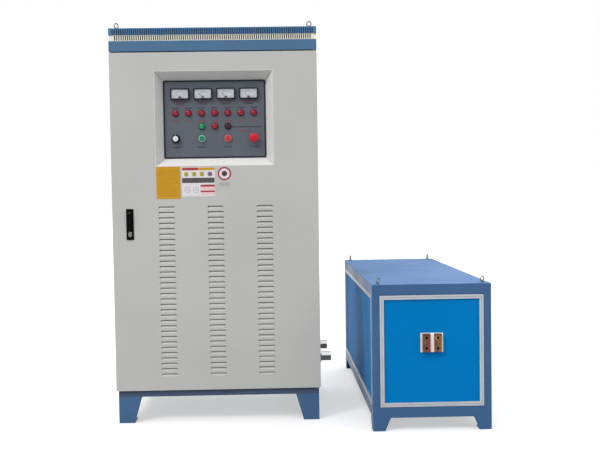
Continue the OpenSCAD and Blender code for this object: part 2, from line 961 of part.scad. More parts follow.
module door_skin() color("#bebeba") at_cabinet() {
    difference() {
        door_tray();
        translate([0, -overrun, recess_mid - recess_cut_h / 2])
            mid_block(recess_cut_w, sheet_t + 2 * overrun, recess_cut_h);
        translate([lock_x, -overrun, lock_z - lock_body_h / 2])
            mid_block(lock_body_w + fit_gap, sheet_t + 2 * overrun, lock_body_h + fit_gap);
        translate([0, -overrun, 0]) along_y(sheet_t + 2 * overrun)
            louvre_places() translate([-louvre_w / 2, 0]) square([louvre_w, louvre_window_h]);
        translate([hinge_x, hinge_depth, door_z - overrun])
            cylinder(h = door_h + 2 * overrun, d = hinge_pin_d + 4 * fit_gap);
    }
    for (col = [-1, 0, 1]) {
        x = col * louvre_col_pitch - louvre_w / 2;
        translate([x - cheek_t, 0, 0]) along_x(louvre_w + 2 * cheek_t) louvre_slopes();
        translate([x - cheek_t, 0, 0]) along_x(cheek_t) louvre_cheeks();
        translate([x + louvre_w, 0, 0]) along_x(cheek_t) louvre_cheeks();
    }
}

// Two channels behind the skin and a bored block at each hinge pin
module door_stiffeners() color("#a9aaa6") at_cabinet() {
    rib_w = 30;
    rib_d = 14;
    rib_end = 60;
    rib_z = door_z + door_lip_w + rib_end;
    rib_l = recess_z - rib_end - rib_z;
    for (x = [-1, 1]) {
        translate([x * louvre_col_pitch / 2, sheet_t, rib_z]) linear_extrude(rib_l) difference() {
            translate([-rib_w / 2, 0]) square([rib_w, rib_d]);
            translate([-rib_w / 2 + sheet_t, -sheet_t]) square([rib_w - 2 * sheet_t, rib_d]);
        }
    }
    for (z = [door_z + sheet_t, door_top - sheet_t - hinge_block_l]) {
        difference() {
            translate([hinge_x, sheet_t, z])
                mid_block(hinge_block_w, door_t - sheet_t - door_lip_t, hinge_block_l);
            translate([hinge_x, hinge_depth, z - overrun])
                cylinder(h = hinge_block_l + 2 * overrun, d = hinge_pin_d + 2 * running_gap);
        }
    }
}

module door_gasket() color("#26282a") at_cabinet() {
    seal_w = 9;
    seal_t = door_seal_gap - fit_gap;
    seal_edge = hinge_edge + seal_w / 3;
    seal_l = cab_w - 2 * seal_edge;
    seal_h = door_h - 2 * seal_edge;
    translate([0, door_t, door_z + seal_edge]) {
        both_sides() translate([seal_l / 2 - seal_w, 0, 0]) cube([seal_w, seal_t, seal_h]);
        for (z = [0, seal_h - seal_w]) {
            translate([0, 0, z]) mid_block(seal_l - 2 * seal_w - 2 * weld_gap, seal_t, seal_w);
        }
    }
}

// A solid with four sloping sides, wide at the front and narrow at the back
module recess_form(front_w, front_h, back_w, back_h, d) {
    intersection() {
        translate([0, 0, -front_h]) linear_extrude(2 * front_h) polygon([
            [-front_w / 2, 0], [front_w / 2, 0], [back_w / 2, d], [-back_w / 2, d]
        ]);
        translate([-front_w, 0, 0]) along_x(2 * front_w) polygon([
            [0, -front_h / 2], [0, front_h / 2], [d, back_h / 2], [d, -back_h / 2]
        ]);
    }
}

module recess_surround() color("#bebeba") at_cabinet() translate([0, 0, recess_mid]) {
    back_w = seat_w + 2 * wall_x;
    back_h = seat_h + 2 * wall_z;
    cut_w = recess_w + 2 * overrun * slope_x;
    cut_h = recess_h + 2 * overrun * slope_z;
    difference() {
        union() {
            recess_form(recess_w + 2 * wall_x, recess_h + 2 * wall_z, back_w, back_h, plate_back);
            translate([0, plate_back, -back_h / 2]) mid_block(back_w, recess_t, back_h);
        }
        translate([0, -overrun, 0]) recess_form(cut_w, cut_h, seat_w, seat_h, plate_back + overrun);
        translate([0, plate_back - overrun, -plate_h / 2 + recess_lip_w])
            mid_block(plate_w - 2 * recess_lip_w, recess_t + 2 * overrun, plate_h - 2 * recess_lip_w);
    }
}

// Places on the control plate, measured from its top and its middle
module on_plate(column, drop) {
    translate([column * column_pitch, plate_front, plate_top - drop]) children();
}

module meter_place(i) {
    translate([(i - 2.5) * meter_pitch, plate_front, plate_top - meter_drop]) children();
}

module lamp_columns() {
    for (c = [-end_column:end_column]) {
        on_plate(c, lamp_row_drop) children();
    }
    for (c = [-status_column, 0, status_column]) {
        on_plate(c, status_row_drop) children();
    }
}

module plate_hole(d) {
    translate([0, -overrun, 0]) y_rod(d + 2 * fit_gap, plate_t + 2 * overrun);
}

module control_plate() color("#555a67") at_cabinet() {
    difference() {
        translate([0, plate_front, plate_top - plate_h / 2])
            along_y(plate_t) rounded_square(plate_w, plate_h, plate_r);
        for (i = [1:4]) {
            meter_place(i) plate_hole(meter_barrel_d);
        }
        lamp_columns() plate_hole(barrel_d);
        for (c = [-status_column, status_column, end_column]) {
            on_plate(c, button_row_drop) plate_hole(barrel_d);
        }
        on_plate(-end_column, button_row_drop) plate_hole(pot_bush_d);
    }
}

module meter_case() {
    open_w = meter_w - 2 * meter_rim;
    open_h = meter_h - 2 * meter_rim;
    difference() {
        union() {
            translate([0, -meter_front, -meter_h / 2]) mid_block(meter_w, meter_front, meter_h);
            translate([0, -meter_back_t, 0]) y_rod(meter_barrel_d, meter_barrel_l + meter_back_t);
        }
        translate([0, -meter_front - overrun, -open_h / 2])
            mid_block(open_w, meter_front - meter_back_t + overrun, open_h);
        translate([0, -meter_front, -pivot_drop]) y_rod(2 * needle_axle_d, meter_front + needle_axle_l);
    }
    translate([0, -pivot_cover_out, -pivot_drop]) y_rod(pivot_cover_d, pivot_cover_t);
    translate([0, -pivot_cover_out, -open_h / 2 - meter_rim / 2])
        mid_block(pivot_neck_w, pivot_cover_t, open_h / 2 + meter_rim / 2 - pivot_drop);
}

module meter_cases() color("#1c1d20") at_cabinet() {
    for (i = [1:4]) {
        meter_place(i) meter_case();
    }
}

// A sheet that fills the opening of a meter's case
module meter_sheet(t) {
    rim = meter_rim + weld_gap;
    translate([0, 0, -meter_h / 2 + rim]) mid_block(meter_w - 2 * rim, t, meter_h - 2 * rim);
}

module meter_dials() color("#e8e8e4") at_cabinet() {
    for (i = [1:4]) {
        meter_place(i) translate([0, -meter_back_t - dial_t, 0]) difference() {
            meter_sheet(dial_t);
            translate([0, -overrun, -pivot_drop])
                y_rod(needle_axle_d + 2 * running_gap, dial_t + 2 * overrun);
        }
    }
}

module meter_windows() color("#dfe8ee", 0.35) at_cabinet() {
    for (i = [1:4]) {
        meter_place(i) translate([0, glass_inset - meter_front, 0]) meter_sheet(glass_t);
    }
}

module meter_needle(i) {
    back = -meter_back_t - dial_t - fit_gap;
    meter_place(i) translate([0, 0, -pivot_drop]) rotate([0, -needle_start, 0]) {
        translate([0, back - needle_hub_l, 0]) y_rod(needle_hub_d, needle_hub_l);
        translate([0, back - needle_hub_l, 0]) y_rod(needle_axle_d, needle_hub_l + needle_axle_l);
        translate([0, back - needle_t, -needle_tail]) mid_block(needle_w, needle_t, needle_tail + needle_l);
    }
}

module meter_needle_1() color("#b02020") at_cabinet() meter_needle(1);
module meter_needle_2() color("#b02020") at_cabinet() meter_needle(2);
module meter_needle_3() color("#b02020") at_cabinet() meter_needle(3);
module meter_needle_4() color("#b02020") at_cabinet() meter_needle(4);

// A barrel through the control plate with a nut behind it
module panel_barrel(l) {
    y_rod(barrel_d, l);
    translate([0, plate_t, 0]) rotate([-90, 0, 0]) cylinder(h = nut_h, d = nut_af * 2 / sqrt(3), $fn = 6);
}

module lamp_bodies() color("#2b2c30") at_cabinet() {
    lamp_columns() {
        translate([0, -bezel_h, 0]) y_rod(lamp_d, bezel_h);
        panel_barrel(barrel_l);
    }
}

module lamp_lens() {
    dome_r = (lens_d * lens_d / 4 + lens_h * lens_h) / (2 * lens_h);
    translate([0, -bezel_h, 0]) intersection() {
        translate([0, -lens_h, 0]) y_rod(lens_d, lens_h);
        translate([0, dome_r - lens_h, 0]) sphere(dome_r);
    }
}

module red_lamp_lenses() color("#b01c28") at_cabinet() {
    for (c = [-end_column:end_column]) {
        on_plate(c, lamp_row_drop) lamp_lens();
    }
    on_plate(0, status_row_drop) lamp_lens();
    on_plate(status_column, status_row_drop) lamp_lens();
}

module green_lamp_lens() color("#17904a") at_cabinet()
    on_plate(-status_column, status_row_drop) lamp_lens();

module push_button_collars() color("#c9d6cf") at_cabinet() {
    for (c = [-status_column, status_column]) {
        on_plate(c, button_row_drop) difference() {
            union() {
                translate([0, -collar_h, 0]) y_rod(collar_d, collar_h);
                panel_barrel(barrel_l);
            }
            translate([0, -collar_h - overrun, 0])
                y_rod(button_d + 2 * fit_gap, collar_h + overrun - collar_floor);
            translate([0, -collar_h, 0]) y_rod(plunger_d + 2 * fit_gap, collar_h + barrel_l + overrun);
        }
    }
}

module push_button() {
    translate([0, -collar_h - button_out, 0]) {
        y_rod(button_d, button_h);
        y_rod(plunger_d, button_h + plunger_l);
    }
}

module start_button() color("#159a55") at_cabinet() on_plate(-status_column, button_row_drop) push_button();
module stop_button() color("#c8232c") at_cabinet() on_plate(status_column, button_row_drop) push_button();

module emergency_stop_body() color("#2b2c30") at_cabinet()
on_plate(end_column, button_row_drop) difference() {
    union() {
        translate([0, -stop_collar_h, 0]) y_rod(lamp_d, stop_collar_h);
        panel_barrel(barrel_l);
    }
    translate([0, -stop_collar_h - overrun, 0])
        y_rod(stop_stem_d + 2 * fit_gap, stop_collar_h + barrel_l + 2 * overrun);
}

module emergency_stop_stem() color("#d8d9d6") at_cabinet() on_plate(end_column, button_row_drop) {
    stem_front = stop_collar_h + stop_neck_gap + stop_socket_l - fit_gap;
    translate([0, -stem_front, 0]) y_rod(stop_stem_d, stem_front + stop_stem_l);
}

module emergency_stop_head() color("#d0202c") at_cabinet() on_plate(end_column, button_row_drop) {
    neck_y = -stop_collar_h - stop_neck_gap;
    rim_h = stop_head_h / 2;
    dome_r = (stop_head_d * stop_head_d / 4 + rim_h * rim_h) / (2 * rim_h);
    difference() {
        union() {
            translate([0, -stop_out + rim_h, 0]) y_rod(stop_head_d, stop_head_h - rim_h);
            translate([0, -stop_out, 0]) intersection() {
                y_rod(stop_head_d, rim_h + overrun);
                translate([0, dome_r, 0]) sphere(dome_r);
            }
            translate([0, -stop_out + rim_h, 0]) y_rod(stop_neck_d, neck_y + stop_out - rim_h);
        }
        translate([0, neck_y - stop_socket_l, 0])
            y_rod(stop_stem_d + 2 * running_gap, stop_socket_l + overrun);
    }
}

module power_potentiometer() color("#3a3c40") at_cabinet()
on_plate(-end_column, button_row_drop) difference() {
    union() {
        translate([0, -pot_nut_h, 0]) y_rod(pot_nut_d, pot_nut_h);
        translate([0, -pot_nut_h, 0]) y_rod(pot_bush_d, pot_nut_h + 2 * plate_t);
        translate([0, plate_t + fit_gap, 0]) y_rod(pot_d, pot_h);
    }
    translate([0, -pot_nut_h - overrun, 0]) y_rod(shaft_d + 2 * running_gap, shaft_l + pot_nut_h + overrun);
}

module power_knob() color("#1b1c1e") at_cabinet() on_plate(-end_column, button_row_drop) {
    pocket_d = knob_cap_d + 2 * weld_gap;
    difference() {
        union() {
            translate([0, -knob_gap - knob_skirt_h, 0]) y_rod(knob_d, knob_skirt_h);
            translate([0, -knob_h, 0]) y_rod(knob_body_d, knob_h - knob_gap - overrun);
            translate([0, -knob_h / 2, 0]) y_rod(shaft_d, knob_h / 2 + shaft_l - 2 * overrun);
        }
        translate([0, -knob_h - overrun, 0]) y_rod(pocket_d, knob_cap_h + overrun);
    }
    translate([0, -knob_h - knob_cap_h / 3, 0]) y_rod(knob_cap_d, knob_cap_h + knob_cap_h / 3 - weld_gap);
}

// Door lock

module lock_plate() color("#17181a") at_cabinet() translate([lock_x, 0, lock_z]) difference() {
    union() {
        translate([0, -lock_plate_t, 0]) along_y(lock_plate_t) rounded_square(lock_w, lock_h, lock_r);
        translate([0, -overrun, -lock_body_h / 2])
            mid_block(lock_body_w, lock_body_d + overrun, lock_body_h);
    }
    translate([0, -lock_plate_t - overrun, rotor_rise])
        y_rod(rotor_d + 2 * fit_gap, lock_plate_t + lock_body_d + 2 * overrun);
    translate([0, -lock_plate_t - overrun, -button_drop]) along_y(lock_plate_t + lock_body_d + 2 * overrun)
        rounded_square(release_w + 2 * fit_gap, release_h + 2 * fit_gap, release_w / 2);
}

// The turning spindle with its cam behind the door and an ear for the handle's pin
module lock_rotor() color("#8c8f92") at_cabinet() translate([lock_x, 0, rotor_z]) {
    face = -lock_plate_t - fit_gap / 3;
    difference() {
        union() {
            translate([0, face, 0]) y_rod(rotor_d, cam_start + cam_t - face);
            translate([0, face - ear_h, ear_rise - ear_w / 2]) mid_block(ear_w, ear_h + overrun, ear_w);
            translate([-cam_l, cam_start, -cam_w / 2]) cube([cam_l, cam_t, cam_w]);
        }
        translate([-ear_w, face - ear_h / 2 - fit_gap, ear_rise])
            x_rod(ear_pin_d + 2 * running_gap, 2 * ear_w);
    }
}

module lock_handle() color("#17181a") at_cabinet() translate([lock_x, 0, rotor_z]) {
    face = -lock_plate_t - 2 * fit_gap;
    pin_y = -lock_plate_t - fit_gap / 3 - ear_h / 2 - fit_gap;
    slot_w = ear_w + 2 * fit_gap;
    knuckle_l = handle_w - 2 * fit_gap;
    difference() {
        union() {
            difference() {
                translate([0, face - handle_t, handle_top - handle_l / 2]) along_y(handle_t)
                    rounded_square(handle_w, handle_l, handle_w / 3);
                translate([0, pin_y, ear_rise]) mid_block(2 * handle_w, handle_t, handle_l);
            }
            translate([-knuckle_l / 2, pin_y, ear_rise]) x_rod(2 * (face - pin_y), knuckle_l);
        }
        translate([0, face - handle_t - overrun, ear_rise - ear_w])
            mid_block(slot_w, handle_t + 2 * overrun, handle_l);
    }
    translate([-slot_w, pin_y, ear_rise]) x_rod(ear_pin_d, 2 * slot_w);
}

module lock_button() color("#b9bcbe") at_cabinet()
    translate([lock_x, -lock_plate_t - release_out, lock_z - button_drop])
        along_y(release_l) rounded_square(release_w, release_h, release_w / 2 - fit_gap);

// Three bonded plates on the door, left blank
module blank_plates() color("#d9a916") at_cabinet() {
    top = recess_z - plate_below;
    translate([yellow_x, -label_t, top - yellow_h]) cube([yellow_w, label_t, yellow_h]);
    translate([white_x, -label_t, top - white_drop - white_h]) cube([white_w, label_t, white_h]);
    translate([round_x, -label_t, recess_z - round_drop]) y_rod(round_d, label_t);
}

// Inside the cabinet

module mounting_plate() color("#c3c6c6") at_cabinet()
    translate([0, mount_y, mount_z]) mid_block(mount_w, mount_t, mount_h);

// Places on the mounting plate's front face, with Y growing out of the plate towards the door
module on_mount(x, lift) {
    translate([x, mount_y, mount_z + lift]) mirror([0, 1, 0]) children();
}

module main_breaker() color("#3b3e42") at_cabinet() on_mount(breaker_x, breaker_lift) {
    hub_y = breaker_d - toggle_hub_d / 3;
    difference() {
        mid_block(breaker_w, breaker_d, breaker_h);
        translate([0, breaker_d - toggle_hub_d, (breaker_h - toggle_window_h) / 2])
            mid_block(toggle_window_w, toggle_hub_d + overrun, toggle_window_h);
        for (z = [0, breaker_h]) {
            for (x = [-1, 0, 1]) {
                translate([x * breaker_w / 3, breaker_d - breaker_pocket_d / 2, z - breaker_pocket_h / 2])
                    mid_block(breaker_pocket_w, breaker_pocket_d, breaker_pocket_h);
            }
        }
    }
    translate([-toggle_window_w, hub_y - toggle_hub_d / 3, breaker_h / 2])
        x_rod(toggle_pin_d, 2 * toggle_window_w);
}

module breaker_toggle() color("#1d1e20") at_cabinet() on_mount(breaker_x, breaker_lift) {
    hub_y = breaker_d - toggle_hub_d / 3;
    translate([0, hub_y - toggle_hub_d / 3, breaker_h / 2]) rotate([-toggle_start, 0, 0]) difference() {
        union() {
            translate([-toggle_w / 2, 0, 0]) x_rod(toggle_hub_d * 2 / 3, toggle_w);
            translate([0, 0, -toggle_lever_t / 2])
                mid_block(toggle_lever_w, toggle_lever_l, toggle_lever_t);
        }
        translate([-toggle_w, 0, 0]) x_rod(toggle_pin_d + 2 * running_gap, 2 * toggle_w);
    }
}

module main_contactor() color("#d9d6c8") at_cabinet() on_mount(contactor_x, contactor_lift) {
    mid_block(contactor_w, contactor_base_d, contactor_h);
    translate([0, 0, (contactor_h - contactor_head_h) / 2])
        mid_block(contactor_head_w, contactor_d, contactor_head_h);
}

module cold_plate() color("#b6babd") at_cabinet() on_mount(0, coldplate_lift) {
    mid_block(coldplate_w, coldplate_t, coldplate_h);
    for (z = [coldplate_h / 4, coldplate_h * 3 / 4]) {
        translate([coldplate_w / 2 - overrun, coldplate_t / 2, z]) x_rod(barb_d, barb_l + overrun);
    }
}

module module_places() {
    for (i = [0:module_count - 1]) {
        on_mount((i - (module_count - 1) / 2) * module_pitch, coldplate_lift + (coldplate_h - module_h) / 2)
            translate([0, coldplate_t, 0]) children();
    }
}

module power_modules() color("#2a2c30") at_cabinet() module_places() {
    mid_block(module_w, module_t, module_h);
    for (i = [-1, 0, 1]) {
        translate([0, module_t - overrun, module_h / 2 + i * terminal_pad_pitch - terminal_pad_h / 2])
            mid_block(terminal_pad_w, terminal_pad_t + overrun, terminal_pad_h);
    }
}

module capacitor_cans() color("#9fa3a6") at_cabinet() {
    for (i = [0:2]) {
        for (j = [0, 1]) {
            on_mount(can_x + (i - 1) * can_pitch_x, can_lift + j * can_pitch_z) {
                y_rod(can_d, can_l);
                for (s = [-1, 1]) {
                    translate([s * can_stud_pitch / 2, can_l - overrun, 0])
                        y_rod(can_stud_d, can_stud_l + overrun);
                }
            }
        }
    }
}

// A window of the core's size less its clearance
module coil_ring(leg_w, window_w, window_h, core_d, coil_out) {
    outer_w = leg_w + 2 * window_w - 2 * fit_gap;
    coil_h = window_h - 2 * fit_gap;
    difference() {
        translate([0, -coil_out, fit_gap]) mid_block(outer_w, core_d + 2 * coil_out, coil_h);
        translate([0, -fit_gap, 0]) mid_block(leg_w + 2 * fit_gap, core_d + 2 * fit_gap, window_h);
    }
}

// A core with two windows either side of a middle leg
module shell_core(w, d, h, window_w, window_h) {
    leg_w = w / 3;
    difference() {
        mid_block(w, d, h);
        both_sides() translate([leg_w / 2, -overrun, (h - window_h) / 2])
            cube([window_w, d + 2 * overrun, window_h]);
    }
}

module dc_reactor() color("#4a4d52") at_cabinet() translate([reactor_x, reactor_y, floor_top]) {
    shell_core(reactor_w, reactor_d, reactor_h, reactor_window_w, reactor_window_h);
    translate([0, 0, (reactor_h - reactor_window_h) / 2])
        coil_ring(reactor_w / 3, reactor_window_w, reactor_window_h, reactor_d, reactor_coil_out);
}

module control_board() color("#1f6b45") at_cabinet() on_mount(board_x, board_lift) {
    for (x = [-1, 1]) {
        for (z = [standoff_inset, board_h - standoff_inset]) {
            translate([x * (board_w / 2 - standoff_inset), 0, z])
                y_rod(standoff_d, standoff_l + board_t / 2);
        }
    }
    translate([0, standoff_l, 0]) mid_block(board_w, board_t, board_h);
    for (i = [0:2]) {
        for (j = [0:3]) {
            translate([(i - 1) * chip_w, standoff_l + board_t / 2, chip_h / 2 + j * chip_h * 3 / 2])
                mid_block(chip_w * (3 - i) / 4, chip_t * (1 + j) / 4 + board_t / 2, chip_h * 2 / 3);
        }
    }
}

module cabinet_pipe() {
    reach = cab_w / 2 - manifold_x;
    difference() {
        union() {
            translate([0, 0, floor_top - pipe_z]) cylinder(h = manifold_h, d = manifold_d);
            x_rod(pipe_d, reach + pipe_out);
            translate([reach, 0, 0]) rotate([0, 90, 0]) cylinder(h = locknut_h, d = locknut_d, $fn = 6);
            for (i = [0:barb_count - 1]) {
                translate([-barb_l - manifold_d / 3, 0, barb_first + i * barb_pitch + floor_top - pipe_z])
                    x_rod(barb_d, barb_l + overrun);
            }
        }
        translate([0, 0, floor_top - pipe_z + pipe_t])
            cylinder(h = manifold_h - 2 * pipe_t, d = manifold_d - 2 * pipe_t);
        x_rod(pipe_d - 2 * pipe_t, reach + pipe_out + overrun);
    }
}

module stub_nut() {
    rotate([-90, 0, 0]) cylinder(h = stub_nut_h, d = stub_nut_d, $fn = 6);
}

module box_stub() {
    translate([0, -stub_inner_l, 0]) difference() {
        union() {
            y_rod(stub_d, stub_inner_l + rear_out);
            translate([0, stub_inner_l, 0]) stub_nut();
            translate([0, stub_inner_l - panel_back - stub_nut_h, 0]) stub_nut();
        }
        translate([0, -overrun, 0]) y_rod(stub_d - 2 * pipe_t, stub_inner_l + rear_out + 2 * overrun);
    }
}

module rear_row(x) {
    both_sides() translate([x, box_l, box_floor_top + rear_row_lift]) children();
}

module water_pipes() color("#a7abad") {
    at_cabinet() for (i = [0, 1]) {
        translate([manifold_x, pipe_front_y + i * pipe_pitch, pipe_z]) cabinet_pipe();
    }
    at_box() rear_row(stub_x) box_stub();
}

module cable_glands() color("#303236") {
    at_cabinet() for (i = [-1, 0, 1]) {
        translate([i * gland_pitch, gland_y, base_top - gland_l / 2]) difference() {
            union() {
                cylinder(h = gland_l, d = gland_d);
                translate([0, 0, gland_l / 2 - gland_flange_h])
                    cylinder(h = gland_flange_h, d = gland_flange_d);
            }
            translate([0, 0, -overrun]) cylinder(h = gland_l + 2 * overrun, d = gland_bore_d);
        }
    }
    at_box() rear_row(rear_gland_x) translate([0, -stub_inner_l / 2, 0]) difference() {
        union() {
            y_rod(rear_gland_d, stub_inner_l / 2 + rear_out - fit_gap);
            translate([0, stub_inner_l / 2, 0]) y_rod(rear_gland_flange_d, gland_flange_h);
        }
        translate([0, -overrun, 0]) y_rod(rear_gland_bore_d, stub_inner_l / 2 + rear_out + 2 * overrun);
    }
}

module fan_frame() color("#2b2d31") at_cabinet() translate([0, cab_d - sheet_t - fan_t, fan_z]) {
    guard_y = fan_t - guard_rod_d;
    difference() {
        translate([0, 0, -fan_w / 2]) mid_block(fan_w, fan_t, fan_w);
        translate([0, -overrun, 0]) y_rod(fan_duct_d, fan_t + 2 * overrun);
    }
    difference() {
        union() {
            y_rod(fan_motor_d, fan_motor_l);
            for (a = [45, 135]) {
                rotate([0, a, 0]) translate([0, 0, -fan_duct_d / 2 - overrun])
                    mid_block(fan_strut_w, fan_strut_t, fan_duct_d + 2 * overrun);
            }
        }
        translate([0, -overrun, 0]) y_rod(fan_axle_d + 2 * running_gap, fan_motor_l + 2 * overrun);
    }
    for (r = guard_rings) {
        translate([0, guard_y, 0]) rotate([90, 0, 0])
            rotate_extrude() translate([r, 0]) circle(d = guard_rod_d);
    }
    for (a = [0, 90]) {
        rotate([0, a, 0]) translate([0, guard_y, -fan_duct_d / 2 - overrun])
            mid_block(guard_bar_w, guard_rod_d / 3, fan_duct_d + 2 * overrun);
    }
}

module fan_rotor() color("#202226") at_cabinet() translate([0, fan_rotor_y, fan_z]) {
    y_rod(fan_hub_d, fan_rotor_l);
    translate([0, -fan_axle_l, 0]) y_rod(fan_axle_d, fan_axle_l + overrun);
    intersection() {
        difference() {
            y_rod(fan_tip_d, fan_rotor_l);
            translate([0, -overrun, 0]) y_rod(fan_hub_d / 2, fan_rotor_l + 2 * overrun);
        }
        for (i = [0:fan_blade_count - 1]) {
            rotate([0, i * 360 / fan_blade_count, 0])
                translate([0, fan_rotor_l / 2, fan_hub_d / 2 - overrun])
                    rotate([0, 0, fan_blade_turn]) translate([-fan_blade_w / 2, -fan_blade_t / 2, 0])
                        cube([fan_blade_w, fan_blade_t, fan_tip_d]);
        }
    }
}

// Output unit

module box_eye_holes() {
    for (x = [-1, 1]) {
        for (y = [eye_inset, box_l - eye_inset]) {
            translate([x * (box_w / 2 - eye_inset), y, box_h - eye_shank_l - overrun])
                cylinder(h = eye_shank_l + 2 * overrun, d = eye_shank_d + 2 * fit_gap);
        }
    }
}

module box_frame() color("#3e6491") at_box() {
    rail_l = box_open_l - 2 * weld_gap;
    top_rail_h = box_top_h - roof_t;
    four_corners(box_w, box_l) corner_foot(box_foot_top_w, box_foot_bottom_w, box_foot_h - weld_gap);
    for (y = [0, box_l - box_post_w]) {
        translate([0, y, box_foot_h]) tube_x(box_open_w - 2 * weld_gap, box_post_w, box_rail_h);
    }
    both_sides() translate([(box_w - box_post_w) / 2, box_post_w + weld_gap, box_foot_h])
        tube_y(rail_l, box_post_w, box_rail_h);
    difference() {
        union() {
            four_corners(box_w, box_l) translate([0, 0, box_foot_h])
                post(box_post_w, box_post_top - box_foot_h);
            for (y = [0, box_l - box_post_w]) {
                translate([0, y, box_open_z1]) tube_x(box_open_w - 2 * weld_gap, box_post_w, top_rail_h);
            }
            both_sides() translate([(box_w - box_post_w) / 2, box_post_w + weld_gap, box_open_z1])
                tube_y(rail_l, box_post_w, top_rail_h);
        }
        box_eye_holes();
    }
}

module box_roof() color("#7da0cd") at_box() difference() {
    translate([0, 0, box_post_top]) mid_block(box_w, box_l, roof_t);
    box_eye_holes();
}

module box_panel(w) {
    translate([0, 0, box_open_z0 + weld_gap])
        mid_block(w - 2 * weld_gap, sheet_t, box_open_h - 2 * weld_gap);
}

// Side pieces are drawn as front pieces and turned to the left side, then mirrored to the right
module on_sides() {
    both_sides() translate([-box_w / 2, box_l / 2, 0]) rotate([0, 0, -90]) children();
}

module panel_hole(d) {
    translate([0, -panel_back - overrun, 0]) y_rod(d + 2 * fit_gap, panel_back + 2 * overrun);
}

module box_panels() color("#087cc6") at_box() {
    difference() {
        translate([0, trim_t, 0]) box_panel(box_open_w);
        translate([0, trim_t - overrun, window_z - window_h / 2])
            mid_block(window_w, sheet_t + 2 * overrun, window_h);
    }
    difference() {
        translate([0, box_l - panel_back, 0]) box_panel(box_open_w);
        rear_row(stub_x) panel_hole(stub_d);
        rear_row(rear_gland_x) panel_hole(rear_gland_d);
    }
    on_sides() translate([0, trim_t, 0]) box_panel(box_open_l);
}

// A bright frame with a shallow groove along its middle
module trim_frame(w, h) {
    mid = trim_w / 2;
    difference() {
        along_y(trim_t) difference() {
            mid_square(w, h);
            mid_square(w - 2 * trim_w, h - 2 * trim_w);
        }
        translate([0, -overrun, 0]) along_y(groove_depth + overrun) difference() {
            mid_square(w - 2 * mid + groove_w, h - 2 * mid + groove_w);
            mid_square(w - 2 * mid - groove_w, h - 2 * mid - groove_w);
        }
    }
}

module box_trims() color("#bec3c3") at_box() {
    mid_z = (box_open_z0 + box_open_z1) / 2;
    trim_h = box_open_h - 2 * trim_gap;
    translate([0, 0, mid_z]) trim_frame(box_open_w - 2 * trim_gap, trim_h);
    translate([0, box_l, mid_z]) mirror([0, 1, 0]) trim_frame(box_open_w - 2 * trim_gap, trim_h);
    on_sides() translate([0, 0, mid_z]) trim_frame(box_open_l - 2 * trim_gap, trim_h);
}

// The white insulating plate in the window, with a strip standing between the terminals
module terminal_insulator() color("#e9e6da") at_box() translate([0, 0, window_z]) {
    hole_w = terminal_w + 2 * weld_gap;
    hole_h = terminal_h + 2 * weld_gap;
    difference() {
        translate([0, insulator_front, -window_h / 2 + weld_gap])
            mid_block(window_w - 2 * weld_gap, insulator_back - insulator_front, window_h - 2 * weld_gap);
        both_sides() translate([terminal_x, insulator_front - overrun, -hole_h / 2])
            mid_block(hole_w, insulator_back, hole_h);
    }
    translate([0, insulator_front - strip_out, -terminal_h / 2])
        mid_block(terminal_gap - 4 * weld_gap, strip_out + overrun, terminal_h);
}

module output_terminals() color("#8c5540") at_box()
both_sides() translate([terminal_x, -terminal_out, window_z]) {
    plate_l = winding_y + terminal_out - weld_gap;
    difference() {
        union() {
            translate([0, 0, -terminal_h / 2]) mid_block(terminal_w, bar_block_l, terminal_h);
            translate([-terminal_w / 2, 0, -terminal_h / 2]) cube([bar_plate_t, plate_l, terminal_h]);
        }
        for (z = [-1, 1]) {
            translate([0, -overrun, z * terminal_hole_pitch / 2])
                y_rod(terminal_hole_d, terminal_hole_l + overrun);
        }
    }
}

module transformer_core() color("#3c3f45") at_box() translate([0, core_y, 0]) {
    stand_h = core_z - box_floor_top;
    translate([0, 0, core_z]) shell_core(core_w, core_d, core_h, core_window_w, core_window_h);
    both_sides() translate([(core_w - core_stand_w) / 2, 0, box_floor_top])
        mid_block(core_stand_w, core_d, stand_h - weld_gap);
}

module transformer_winding() color("#a8623c") at_box()
    translate([0, core_y, window_z - core_window_h / 2])
        coil_ring(core_w / 3, core_window_w, core_window_h, core_d, winding_out);

module resonance_capacitors() color("#c8cbc9") at_box() {
    for (i = [0:cap_block_count - 1]) {
        translate([0, cap_block_y + i * cap_block_pitch, box_floor_top]) {
            mid_block(cap_block_w, cap_block_d, cap_block_h);
            both_sides() translate([cap_stud_x, cap_block_d / 2, cap_block_h - overrun])
                cylinder(h = cap_stud_h + overrun, d = cap_stud_d);
        }
    }
}

// Flat copper bars across the power modules, and from the winding along the capacitors
module busbars() color("#b0653a") {
    bar_l = (module_count - 1) * module_pitch + module_w;
    at_cabinet() for (i = [-1, 1]) {
        on_mount(0, coldplate_lift + coldplate_h / 2 + i * terminal_pad_pitch - cab_bar_h / 2)
            translate([0, coldplate_t + module_t + terminal_pad_t, 0])
                mid_block(bar_l, cab_bar_t, cab_bar_h);
    }
    at_box() both_sides() {
        bar_y = core_y + core_d + winding_out;
        bar_end = cap_block_y + (cap_block_count - 1) * cap_block_pitch + cap_block_d;
        translate([cap_stud_x, bar_y, link_bar_z]) mid_block(link_bar_w, bar_end - bar_y, link_bar_t);
    }
}

